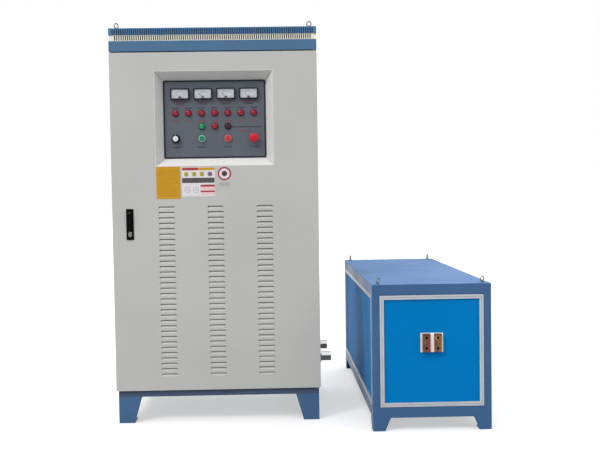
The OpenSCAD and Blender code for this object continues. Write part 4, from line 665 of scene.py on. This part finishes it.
# %% Meter housings
METER_W = 82
METER_H = 48
METER_OUT = 14
RIM = 4.4
WINDOW_W = METER_W - 2 * RIM
WINDOW_H = METER_H - 2 * RIM
PIVOT_Z = METER_Z - 15
COVER_R = 5.6
METER_BACK = [(0, 28), (12, 28), (14, 27), (20, 27), (20, 0)]
meter_black = moulded("compression_moulded_phenolic", "#10141C", "#0C1016", 0.35, index=1.25)
bm = bmesh.new()
for x in METER_X:
    cut(bm, rounded(METER_W, METER_H, 3, x, METER_Z, 6), FACE, FACE - METER_OUT,
        rounded(WINDOW_W, WINDOW_H, 1.6, x, METER_Z, 6))
    cut(bm, rounded(WINDOW_W - 0.1, WINDOW_H - 0.1, 1.5, x, METER_Z, 6), FACE, FACE - 3,
        circle(2.6, x, PIVOT_Z, 36))
    cover = [(x - COVER_R, PIVOT_Z - 2), (x + COVER_R, PIVOT_Z - 2)]
    cut(bm, cover + bow(COVER_R, x, PIVOT_Z, range(0, 181, 12)), FACE - 6.5, FACE - 9.5)
    turned(bm, x, FACE, METER_Z, METER_BACK, axis="+Y")
piece("meter_housings", bm, meter_black, "door", "black_plastic", 0.7, "meter_cases")

# %% [markdown]
# The card's arc, marks and plain numbers are thin raised print. Each is worked out from its
# angle, since the needle turns through 90 degrees about the same pivot. The numbers are text
# curves turned to meshes.

# %% Meter cards
card = Surface("printed_white_dial_card", 0.5, IOR=1.4).drift("#F4F6FB", "#EBEEF5", 25)
card = card.relief(0.6, 0.01, 0.4).done()
dress(card, "meter_dials")
dress(moulded("sprayed_needle_red", "#A82222", "#961D1D", 0.4),
      *["meter_needle_%d" % k for k in (1, 2, 3, 4)])
print_black = moulded("grey_dial_print", "#6A6F78", "#60656E", 0.55)
card_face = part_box("meter_dials")[0].y / MM
ARC_IN = 24.0
ARC_OUT = 24.7
NUMBER_R = 30.6
MARKS = 21


def numeral(bm, text, x, z, size):
    curve = bpy.data.curves.new("numeral", "FONT")
    curve.body = text
    curve.size = size
    curve.align_x = "CENTER"
    curve.align_y = "CENTER"
    curve.extrude = 0.03
    curve.resolution_u = 3
    holder = placed("numeral", curve)
    bpy.context.view_layer.update()
    shape = bpy.data.meshes.new_from_object(holder.evaluated_get(bpy.context.evaluated_depsgraph_get()))
    shape.transform(Matrix.Translation((x, card_face, z)) @ Matrix.Rotation(math.pi / 2, 4, "X"))
    bm.from_mesh(shape)
    bpy.data.objects.remove(holder)
    bpy.data.meshes.remove(shape)


bm = bmesh.new()
for x in METER_X:
    shapes = [bow(ARC_IN, x, PIVOT_Z, range(135, 44, -3)) + bow(ARC_OUT, x, PIVOT_Z, range(45, 136, 3))]
    for step in range(MARKS):
        heading = 135 - step * 90 / (MARKS - 1)
        major = step % 5 == 0
        reach, wide = (28.0, 1.0) if major else (26.4, 0.55)
        side = math.degrees(wide / 2 / 26)
        edges = (heading + side, heading - side)
        shapes.append(bow(ARC_OUT - 0.2, x, PIVOT_Z, edges) + bow(reach, x, PIVOT_Z, edges[::-1]))
        if major:
            numeral(bm, str(step * 5), *bow(NUMBER_R, x, PIVOT_Z, [heading])[0], 4.0)
    shapes.append(rounded(7, 1.2, 0.3, x, PIVOT_Z + 13, 2))
    for shape in shapes:
        cut(bm, shape, card_face + 0.02, card_face - 0.06)
piece("meter_scales", bm, print_black, "door", "dial_white")

# %% [markdown]
# The window is clear polystyrene, so it has full transmission at the plastic's own IOR and a low
# roughness, which a faint haze of dust varies.

# %% Meter windows
clear = Surface("clear_polystyrene_window", 0.04, IOR=1.59, **{"Transmission Weight": 1.0})
clear.drift("#FFFFFF", "#F4F8FA", 40)
dress(clear.gloss(0.02, 0.08, 20).done(), "meter_windows")

# %% [markdown]
# ## Signal lamps
# Each lamp is a black threaded body with a knurled bezel and a domed acrylic lens. Under a row
# of seven red ones are a green one, a red one, and one that is off. A barrel with turned threads
# and a nut behind the plate serves the lamps and the buttons alike.

# %% Lamp bezels
nylon_bezel = moulded("turned_black_nylon_bezel", "#15171B", "#101215", 0.42, index=1.25)
LAMPS = [(n, LAMP_Z, "red") for n in range(-3, 4)]
LAMPS += [(-1, STATUS_Z, "green"), (0, STATUS_Z, "red"), (1, STATUS_Z, "dark")]
BEZEL = [(0, 0), (14.75, 0), (14.75, 1.6), (14.3, 3.0), (13.9, 3.4), (13.5, 3.4), (13.5, 2.6), (0, 2.6)]
KNURL_R = 14.35


def hexagon(across, x, z):
    return circle(across / math.sqrt(3), x, z, 6)


def barrel(bm, x, z, bore=0.0):
    profile = [(bore, 40), (9.6, 40), (10.4, 39)]
    for k in range(14):
        profile += [(11.0, 38 - 2 * k), (10.4, 37 - 2 * k)]
    profile += [(11.0, 9), (11.0, 0)]
    if bore:
        profile += [(bore, 0), (bore, 40)]
    turned(bm, x, FACE, z, profile, axis="+Y")
    cut(bm, hexagon(27, x, z), FACE + 7, FACE + 2.02)


bm = bmesh.new()
for n, z, _ in LAMPS:
    x = column_x(n)
    barrel(bm, x, z)
    turned(bm, x, FACE, z, BEZEL)
    for rib_x, rib_z in bow(KNURL_R, x, z, range(0, 360, 12)):
        cut(bm, circle(0.45, rib_x, rib_z, 8), FACE, FACE - 1.8)
piece("lamp_bezels", bm, nylon_bezel, "door", "black_plastic", 0.0, "lamp_bodies")

# %% [markdown]
# The lens is moulded with rings inside, which catch light as brighter and darker bands, so its
# profile is turned with shallow steps. Its steep rim is painted a deeper colour as shade, so the
# second colour comes in as the surface turns from the front.

# %% Lamp lenses


def acrylic(name, bright, rim_shade):
    lens = Surface(name, 0.16, IOR=1.3, **{"Subsurface Weight": 0.15, "Subsurface Scale": 0.004,
                                           "Coat Weight": 0.15, "Coat Roughness": 0.06})
    # Painted shade: the deeper colour comes in at the rim as the surface turns from the front.
    lens.drift(bright, bright, 20).over(rim_shade, lens.facing["Y"], -0.85, -0.15)
    return lens.gloss(0.11, 0.24, 6).relief(3, 0.1, 0.3).done()


lens_kinds = {"red": acrylic("moulded_red_acrylic_lens", "#950F2C", "#46061A"),
              "green": acrylic("moulded_green_acrylic_lens", "#12905A", "#0A5034"),
              "dark": acrylic("unlit_maroon_acrylic_lens", "#3C1218", "#180609")}
LENS_R = 13.4
LENS_FOOT = 2.6
LENS_EDGE = 4.6
LENS_RISE = 8.4
RING_STEPS = (0.18, -0.05)
lens_profile = [(0, LENS_FOOT), (LENS_R, LENS_FOOT), (LENS_R, LENS_EDGE)]
for k, (radius, out) in enumerate(bow(LENS_R, 0, LENS_EDGE, range(9, 82, 9), LENS_RISE)):
    lens_profile.append((radius - RING_STEPS[k % 2], out))
lens_profile.append((0, LENS_EDGE + LENS_RISE))
for count, (n, z, kind) in enumerate(LAMPS, 1):
    bm = bmesh.new()
    turned(bm, column_x(n), FACE, z, lens_profile)
    slot, solid = ("green_lens", "green_lamp_lens") if kind == "green" else ("red_lens", "red_lamp_lenses")
    piece("lamp_lens_%d_%s" % (count, kind), bm, lens_kinds[kind], "door", slot, 0.0, solid)

# %% [markdown]
# ## Pushbuttons
# The start and stop buttons have a pale translucent collar round a coloured cap, which is dished
# for the finger and sinks 4 mm when pressed.

# %% Pushbuttons
collar_green = moulded("pale_green_translucent_collar", "#7CC3A4", "#69B294", 0.3)
collar_red = moulded("pale_red_translucent_collar", "#D2605F", "#C25251", 0.3)
cap_green = moulded("moulded_green_abs_cap", "#177F58", "#13724E", 0.3)
cap_red = moulded("moulded_red_abs_cap", "#B5303A", "#A52932", 0.3)
STEM_BORE = 3.3
COLLAR_R = 15.5
COLLAR_OUT = 9.0
CAP_R = 10.5
COLLAR = [(STEM_BORE, 0), (COLLAR_R, 0), (COLLAR_R, 6.2), (COLLAR_R - 0.8, 8.2),
          (COLLAR_R - 2.2, COLLAR_OUT), (CAP_R + 1.2, COLLAR_OUT), (CAP_R + 0.3, 8.2),
          (CAP_R + 0.3, 1.0), (STEM_BORE, 1.0), (STEM_BORE, 0)]
CAP = [(0, -12.5), (3, -12.5), (3, 5.5), (CAP_R, 5.5), (CAP_R, 10.4), (CAP_R - 0.7, 11.3),
       (CAP_R - 1.6, 11.5), (CAP_R - 3, 11.2), (4, 10.7), (0, 10.5)]
for n, role, ring, cap, slot in ((-1, "start", collar_green, cap_green, "green_plastic"),
                                 (1, "stop", collar_red, cap_red, "red_plastic")):
    bm = bmesh.new()
    barrel(bm, column_x(n), BUTTON_Z, STEM_BORE)
    turned(bm, column_x(n), FACE, BUTTON_Z, COLLAR)
    piece(role + "_collar", bm, ring, "door", "collar_plastic", 0.0, "push_button_collars")
    bm = bmesh.new()
    turned(bm, column_x(n), FACE, BUTTON_Z, CAP)
    piece(role + "_cap", bm, cap, role + "_button", slot, 0.0, role + "_button")

# %% [markdown]
# ## Emergency stop
# The mushroom head is glossy red ABS, 40 mm across, on a neck that plunges into a black collar
# when it is struck. Its edge is well rounded for the palm, so the profile is turned with part of
# an ellipse there, and a shallow ring marks its face.

# %% Emergency stop
stop_red = moulded("glossy_red_abs_mushroom", "#C8182C", "#B81426", 0.25, 2.0, 0.01, 1.3)
STOP_X = column_x(3)
NECK_BORE = 5.3
STOP_COLLAR = [(NECK_BORE, 0), (14.75, 0), (14.75, 4.6), (14.0, 5.7), (12.8, 6.0), (NECK_BORE, 6.0),
               (NECK_BORE, 0)]
bm = bmesh.new()
barrel(bm, STOP_X, BUTTON_Z, NECK_BORE)
turned(bm, STOP_X, FACE, BUTTON_Z, STOP_COLLAR)
piece("stop_collar_body", bm, nylon_bezel, "door", "black_plastic", 0.0, "emergency_stop_body")
MUSHROOM = [(0, 24), (5.1, 24), (5.1, 12.2), (11.6, 12.2), (12, 12.8), (12, 19.5), (13.4, 20.6)]
MUSHROOM += [(18.6, 21.0)] + bow(2.0, 18.0, 23.4, range(-60, 91, 25), 2.4)
MUSHROOM += [(16.2, 27.4), (13.2, 29.3), (12.4, 29.0), (11.6, 29.5), (7, 30.6), (0, 31.0)]
bm = bmesh.new()
turned(bm, STOP_X, FACE, BUTTON_Z, MUSHROOM, 64)
piece("stop_mushroom", bm, stop_red, "emergency_stop_head", "red_plastic", 0.0, "emergency_stop_head")

# %% [markdown]
# ## Power knob
# The knob is black ABS with 40 ribs for grip, a skirt with a white pointer line, and a spun
# aluminium disc let into its face. The ribs come from an outline that steps in and out. The
# disc's fine rings come from the lathe, so its gloss runs in rings about its own middle.

# %% Power knob
KNOB_X = column_x(-3)
KNOB_R = 16
RIBS = 40
RIB_DEPTH = 0.7
SKIRT = [(0, 1.5), (18.6, 1.5), (19, 2.2), (19, 4.4), (18.2, 5.4), (16.2, 5.9), (0, 5.9)]
RIM_RING = [(0, 19.4), (15.4, 19.4), (15.2, 20.6), (14.4, 21), (12.4, 21), (12.4, 19.5), (0, 19.5)]
SPINDLE = [(0, -12), (2.6, -12), (3, -11.4), (3, 3), (0, 3)]
DISC = [(0, 19.6), (12.2, 19.6), (12.2, 21.0), (11.8, 21.4), (11.0, 21.5), (10.4, 21.3), (0, 21.3)]
outer = circle(KNOB_R, KNOB_X, BUTTON_Z, 4 * RIBS)
inner = circle(KNOB_R - RIB_DEPTH, KNOB_X, BUTTON_Z, 4 * RIBS)
bm = bmesh.new()
turned(bm, KNOB_X, FACE, BUTTON_Z, SKIRT)
cut(bm, [inner[k] if k % 4 > 1 else outer[k] for k in range(4 * RIBS)], FACE - 5.5, FACE - 19.6)
turned(bm, KNOB_X, FACE, BUTTON_Z, RIM_RING)
turned(bm, KNOB_X, FACE, BUTTON_Z, SPINDLE)
piece("knob_body", bm, black_abs, "power_knob", "black_plastic", 0.15, "power_knob")

# %% Knob disc and pointer
spun = Surface("spun_aluminium_disc", 0.3, 1.0).drift("#D2D3D4", "#BFC1C3", 12)
centre = add(spun.tree, "ShaderNodeVectorMath", operation="SUBTRACT", links={0: spun.coords},
             values={1: (KNOB_X * MM, (FACE - 21) * MM, BUTTON_Z * MM)})
rings = add(spun.tree, "ShaderNodeTexWave", links={"Vector": centre.outputs[0]}, wave_type="RINGS",
            rings_direction="Y", values={"Scale": 260, "Distortion": 0.3})
sheen = add(spun.tree, "ShaderNodeMapRange", links={"Value": rings.outputs["Fac"]},
            values={"To Min": 0.2, "To Max": 0.36})
spun.tree.links.new(sheen.outputs[0], spun.shader.inputs["Roughness"])
spun_metal = spun.relief(1, 0.01, 0.3, value=rings.outputs["Fac"]).done()
bm = bmesh.new()
turned(bm, KNOB_X, FACE, BUTTON_Z, DISC)
piece("knob_disc", bm, spun_metal, "power_knob", "black_plastic")
bm = bmesh.new()
cut(bm, rounded(1.6, 2.4, 0.5, KNOB_X, BUTTON_Z + 17.5, 3), FACE - 5.2, FACE - 6.1)
cut(bm, rounded(1.6, 1.4, 0.5, KNOB_X, BUTTON_Z + 14.6, 3), FACE - 20, FACE - 21.1)
piece("knob_pointer", bm, card, "power_knob", "dial_white")

# %% [markdown]
# ## Door lock
# The lock is a black die-cast swing handle in a shallow dish. The handle is hinged at its top
# and lies between raised rims. An oval nickel escutcheon at its foot takes the key, and the
# button inside it lets the handle out. The dish, the handle and the button are separate pieces
# on their own bodies.

# %% Lock dish
lock_low, lock_high = box_mm("lock_plate")
LOCK_X = (lock_low.x + lock_high.x) / 2
LOCK_Z = (lock_low.z + lock_high.z) / 2
LOCK_FACE = lock_low.y
LOCK_W = lock_high.x - lock_low.x
LOCK_H = lock_high.z - lock_low.z
SPINDLE_Z = LOCK_Z + 44
KEY_Z = LOCK_Z - 43
DISH_R = 2.5
HUB_HOLE = 19.4
POCKET_W = 24
POCKET_H = 116
die_cast = moulded("black_powder_on_die_cast_zinc", "#08090A", "#050606", 0.42, index=1.12)
nickel = Surface("brushed_nickel_plate", 0.3, 1.0).drift("#A9AAA8", "#8C8D8C", 10)
nickel = nickel.gloss(0.18, 0.36, 2, (1, 1, 0.1)).relief(1, 0.01, 0.3, (1, 1, 0.1)).done()
bm = bmesh.new()
cut(bm, rounded(LOCK_W, LOCK_H, DISH_R, LOCK_X, LOCK_Z, 6), LOCK_FACE + 3, LOCK_FACE + 1.2,
    rounded(HUB_HOLE, HUB_HOLE, 9.6, LOCK_X, SPINDLE_Z, 6))
cut(bm, rounded(LOCK_W, LOCK_H, DISH_R, LOCK_X, LOCK_Z, 6), LOCK_FACE + 1.4, LOCK_FACE,
    rounded(LOCK_W - 5, LOCK_H - 5, 2.4, LOCK_X, LOCK_Z, 6))
cut(bm, rounded(POCKET_W, POCKET_H, 2, LOCK_X, LOCK_Z, 6), LOCK_FACE + 17, LOCK_FACE + 3.1,
    rounded(18.8, 18.8, 9.3, LOCK_X, SPINDLE_Z, 6))
piece("lock_dish", bm, die_cast, "door", "black_plastic", 0.5, "lock_plate")
bm = bmesh.new()
cut(bm, rounded(14.5, 22, 7.2, LOCK_X, KEY_Z), LOCK_FACE + 1.3, LOCK_FACE - 1.4,
    rounded(9.8, 15.8, 4.85, LOCK_X, KEY_Z))
piece("lock_escutcheon", bm, nickel, "door", "bright_steel", 0.5)
key_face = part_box("lock_button")[0].y / MM
bm = bmesh.new()
cut(bm, rounded(6.6, 9.4, 3.2, LOCK_X, KEY_Z), key_face + 0.1, key_face - 0.25,
    rounded(1.3, 5.6, 0.6, LOCK_X, KEY_Z))
piece("lock_keyway", bm, nickel, "lock_button", "bright_steel")

# %% [markdown]
# The handle swells below its pivot and thins to its tip. Each station gives a share of its
# length, its width and how far the face falls back, and the skin runs through them all.

# %% Lock handle
grip_low, grip_high = box_mm("lock_handle")
PIN_Y = grip_high.y - 4.3
PIN_Z = LOCK_Z + 49
STATIONS = [(0, 22.6, 3.4), (0.12, 23.6, 0.9), (0.5, 22.0, 0.0), (0.8, 20.6, 1.2), (0.93, 19.0, 2.8),
            (1.0, 13.0, 5.6)]
bm = bmesh.new()
stations = []
for share, wide, fall in STATIONS:
    z = grip_high.z - share * (grip_high.z - grip_low.z)
    back = grip_high.y if z < PIN_Z - 0.5 else PIN_Y
    front = grip_low.y + fall
    half_ring = [(0.5, back), (0.5, front + 2.6), (0.42, front + 0.9), (0.25, front)]
    ring = [(-a, y) for a, y in half_ring] + half_ring[::-1]
    stations.append([bm.verts.new((LOCK_X + a * wide, y, z)) for a, y in ring])
for a, b in zip(stations, stations[1:]):
    for k in range(8):
        bm.faces.new([a[k], a[(k + 1) % 8], b[(k + 1) % 8], b[k]])
bm.faces.new(stations[0])
bm.faces.new(stations[-1])
piece("lock_grip", bm, die_cast, "lock_handle", "black_plastic", 0.6, "lock_handle")
bm = bmesh.new()
turned(bm, LOCK_X - 10.6, PIN_Y, PIN_Z, [(0, 0), (2.9, 0), (2.9, 21.2), (0, 21.2)], 24, "+X")
crown_z = grip_high.z - 9.2
crown = bow(7.4, LOCK_X, crown_z, range(20, 161, 10), 6.4)
crown += bow(5.6, LOCK_X, crown_z, range(160, 19, -10), 4.6)
cut(bm, crown, grip_low.y + 2.2, grip_low.y + 0.05)
piece("lock_pivot_trim", bm, die_cast, "lock_handle", "black_plastic", 0.2)

# %% [markdown]
# ## Plates on the door
# Three thin plates are bonded under the recess, each of a few plain colour fields: yellow with
# faint ruled lines, white with a red and yellow heading and a dark bar, and a round one with a
# red ring. The fields are thin cut sheets, so they keep their edges from close by.

# %% Inks
INKS = (("gloss_yellow_vinyl", "#BF8D0B", "#B68608", 0.4),
        ("amber_ruled_line_print", "#A1760A", "#987009", 0.45),
        ("gloss_white_vinyl", "#D6D3D6", "#CECBCE", 0.4),
        ("signal_red_print", "#A03336", "#942E31", 0.45),
        ("black_field_print", "#4A4648", "#434042", 0.45),
        ("pale_red_field_print", "#DDBFBE", "#D3B5B4", 0.45),
        ("pale_grey_field_print", "#8D8C90", "#858488", 0.45),
        ("olive_field_print", "#A39A34", "#99902F", 0.45),
        ("plum_field_print", "#7E5A78", "#765370", 0.45),
        ("dark_brown_dot_print", "#4A2D2C", "#432827", 0.45))
ink = {name: moulded(name, light, dark, rough, 2.0) for name, light, dark, rough in INKS}

# %% Door plates
sheet_low, sheet_high = box_mm("blank_plates")
SKIN = sheet_high.y
Y_LEFT = sheet_low.x
Y_TOP = sheet_high.z
Y_W = 105
Y_H = 140
W_LEFT = Y_LEFT + 111
W_TOP = Y_TOP - 4
W_W = 144
W_H = 127


def field(name, colour, boxes, thick, radius=1.0, *hidden):
    made = bmesh.new()
    for x0, z0, wide, tall in boxes:
        r = min(radius, wide / 2.2, tall / 2.2)
        cut(made, rounded(wide, tall, r, x0 + wide / 2, z0 + tall / 2, 4), SKIN, SKIN - thick)
    piece(name, made, ink[colour], "door", "yellow_plate", 0.0, *hidden)


def on_white(right, down, wide, tall):
    return (W_LEFT + right, W_TOP - down, wide, tall)


rules = [(Y_LEFT + 8, Y_TOP - 14 - 8.6 * k, Y_W - 16 - 9 * (k % 3 == 2), 1.3) for k in range(14)]
field("yellow_plate_sheet", "gloss_yellow_vinyl", [(Y_LEFT, Y_TOP - Y_H, Y_W, Y_H)], 0.45, 1.0,
      "blank_plates")
field("yellow_plate_rules", "amber_ruled_line_print", rules, 0.55)
field("white_plate_sheet", "gloss_white_vinyl", [on_white(0, W_H, W_W, W_H)], 0.4)
field("white_plate_reds", "signal_red_print",
      [on_white(1.5, 13, 70, 11.5), on_white(81, 85, 62, 9), on_white(81, 109, 62, 7)], 0.5)
field("white_plate_yellow", "gloss_yellow_vinyl", [on_white(72, 13, 70.5, 11.5)], 0.5)
field("white_plate_black", "black_field_print", [on_white(1.5, 68, 141, 22)], 0.5)
field("white_plate_pinks", "pale_red_field_print",
      [on_white(81, 102, 62, 17), on_white(81, 122, 62, 13)], 0.5)
field("white_plate_olives", "olive_field_print",
      [on_white(11 + 34 * k, 40, 18, 20) for k in range(3)], 0.46, 7.0)
field("white_plate_plum", "plum_field_print", [on_white(113, 40, 20, 20)], 0.46, 8.0)
bm = bmesh.new()
for k in range(2):
    middle = (W_LEFT + 24 + 36 * k, W_TOP - 98)
    cut(bm, rounded(24, 24, 9, *middle), SKIN, SKIN - 0.46, rounded(21, 21, 8, *middle))
    cut(bm, circle(3, *middle), SKIN, SKIN - 0.46)
piece("white_plate_rings", bm, ink["pale_grey_field_print"], "door", "yellow_plate")

# %% Round plate
ROUND_X = MIDDLE + 41
ROUND_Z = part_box("recess_surround")[0].z / MM - 33.6
for name, colour, radius, thick, hole in (("sheet", "gloss_white_vinyl", 28.6, 0.4, None),
                                          ("ring", "signal_red_print", 29.3, 0.55, 22.6),
                                          ("centre", "dark_brown_dot_print", 12, 0.5, None)):
    bm = bmesh.new()
    cut(bm, circle(radius, ROUND_X, ROUND_Z), SKIN, SKIN - thick, hole and circle(hole, ROUND_X, ROUND_Z))
    piece("round_plate_" + name, bm, ink[colour], "door", "yellow_plate")
under = [(ROUND_X - w / 2, ROUND_Z - 42 - 5.5 * k, w, 2.2) for k, w in enumerate((46, 54, 36))]
field("round_plate_lines", "pale_grey_field_print", under, 0.15)

# %% [markdown]
# ## Fasteners and fittings at the back
# The rear cover comes off for service, so it is held by cross-recessed pan-head screws, seven
# down each side and three along the top and the bottom. They are turned from one profile, and
# their cross is two dark strips set into the head, painted shade for the recess. The fan's guard
# gets its four screws too, and the low unit has an earth stud with its nuts at the back, as such
# units do.

# %% Rear screws
cover_low, cover_high = box_mm("cabinet_panels")
fan_low, fan_high = box_mm("fan_frame")
cross_recess_shade = moulded("shadowed_cross_slot", "#1B1C1D", "#151617", 0.6, index=1.2)
EDGE = 14
SIDE_Z = (170, 430, 690, 950, 1210, 1470, 1600)
SCREW = [(0, 0), (7, 0), (7, 0.8), (4.8, 0.9), (4.6, 2.2), (3.4, 3.1), (0, 3.4)]
spots = [(x, z) for x in (cover_low.x + EDGE, cover_high.x - EDGE) for z in SIDE_Z]
spots += [((cover_low.x + cover_high.x) / 2 + dx, z) for dx in (-220, 0, 220) for z in (158, 1612)]
spots += [(x, z) for x in (fan_low.x - 10, fan_high.x + 10) for z in (fan_low.z + 20, fan_high.z - 20)]
heads = bmesh.new()
slots = bmesh.new()
for x, z in spots:
    turned(heads, x, cover_high.y, z, SCREW, 24, "+Y")
    for wide, tall in ((4.6, 0.9), (0.9, 4.6)):
        # Painted shade: dark strips in the head stand for the shade in its cross recess.
        cut(slots, rounded(wide, tall, 0.3, x, z, 3), cover_high.y + 2.6, cover_high.y + 3.45)
piece("rear_cover_screws", heads, plated, "cabinet", "zinc_steel")
piece("rear_cover_screw_slots", slots, cross_recess_shade, "cabinet", "zinc_steel")

# %% Earth stud
STUD_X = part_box("box_frame")[1].x / MM - 60
STUD_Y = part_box("box_frame")[1].y / MM
STUD_Z = 84
STUD = [(0, -2), (10, -2), (10, 1.6), (4, 1.6), (4, 20), (3.2, 21), (0, 21)]
bm = bmesh.new()
turned(bm, STUD_X, STUD_Y, STUD_Z, STUD, 32, "+Y")
for start, end in ((1.7, 8.2), (9, 15.5)):
    cut(bm, hexagon(13, STUD_X, STUD_Z), STUD_Y + start, STUD_Y + end)
piece("earth_stud", bm, plated, "cabinet", "zinc_steel", 0.3)

# %% [markdown]
# ## Inside the cabinet
# With the door open one sees the plate's equipment. A few details make its solids readable:
# clamp bands and crimped rims on the capacitor cans, and fixing screws on the power modules and
# on the cooling plate.

# %% Capacitor cans
can_low, can_high = box_mm("capacitor_cans")
CAN_PITCH = 100
CAN_R = 38
BAND = [(38.3, 8), (39.4, 8.6), (39.4, 23.4), (38.3, 24), (38.3, 8)]
RIM_ROLL = [(30, -14), (30, -12.2), (33, -11.2), (37.9, -11.6), (37.9, -14), (30, -14)]
bands = bmesh.new()
rims = bmesh.new()
for x in [can_low.x + CAN_R + CAN_PITCH * i for i in range(3)]:
    for z in [can_low.z + CAN_R + CAN_PITCH * j for j in range(2)]:
        turned(bands, x, can_high.y, z, BAND)
        turned(rims, x, can_low.y, z, RIM_ROLL)
piece("can_clamp_bands", bands, galvanised, "cabinet", "galvanised_steel")
piece("can_rims", rims, plated, "cabinet", "bright_steel")

# %% Equipment screws
module_low, module_high = box_mm("power_modules")
cooler_low, cooler_high = box_mm("cold_plate")
SMALL_BOLT = [(0, 0), (4.6, 0), (4.6, 3.4), (4, 4), (0, 4)]
LARGE_BOLT = [(0, 0), (6.5, 0), (6.5, 4.4), (5.8, 5), (0, 5)]
bolts = bmesh.new()
for middle_x in [module_low.x + 31 + 95 * i for i in range(6)]:
    for x in (middle_x - 24, middle_x + 24):
        for z in (module_low.z + 7, module_high.z - 7):
            turned(bolts, x, module_low.y + 5.2, z, SMALL_BOLT, 6)
for x in (cooler_low.x + 14, (cooler_low.x + cooler_high.x) / 2, cooler_high.x - 14):
    for z in (cooler_low.z + 14, cooler_high.z - 14):
        turned(bolts, x, cooler_low.y, z, LARGE_BOLT, 6)
piece("equipment_bolts", bolts, plated, "cabinet", "zinc_steel")

# %% [markdown]
# ## Finish
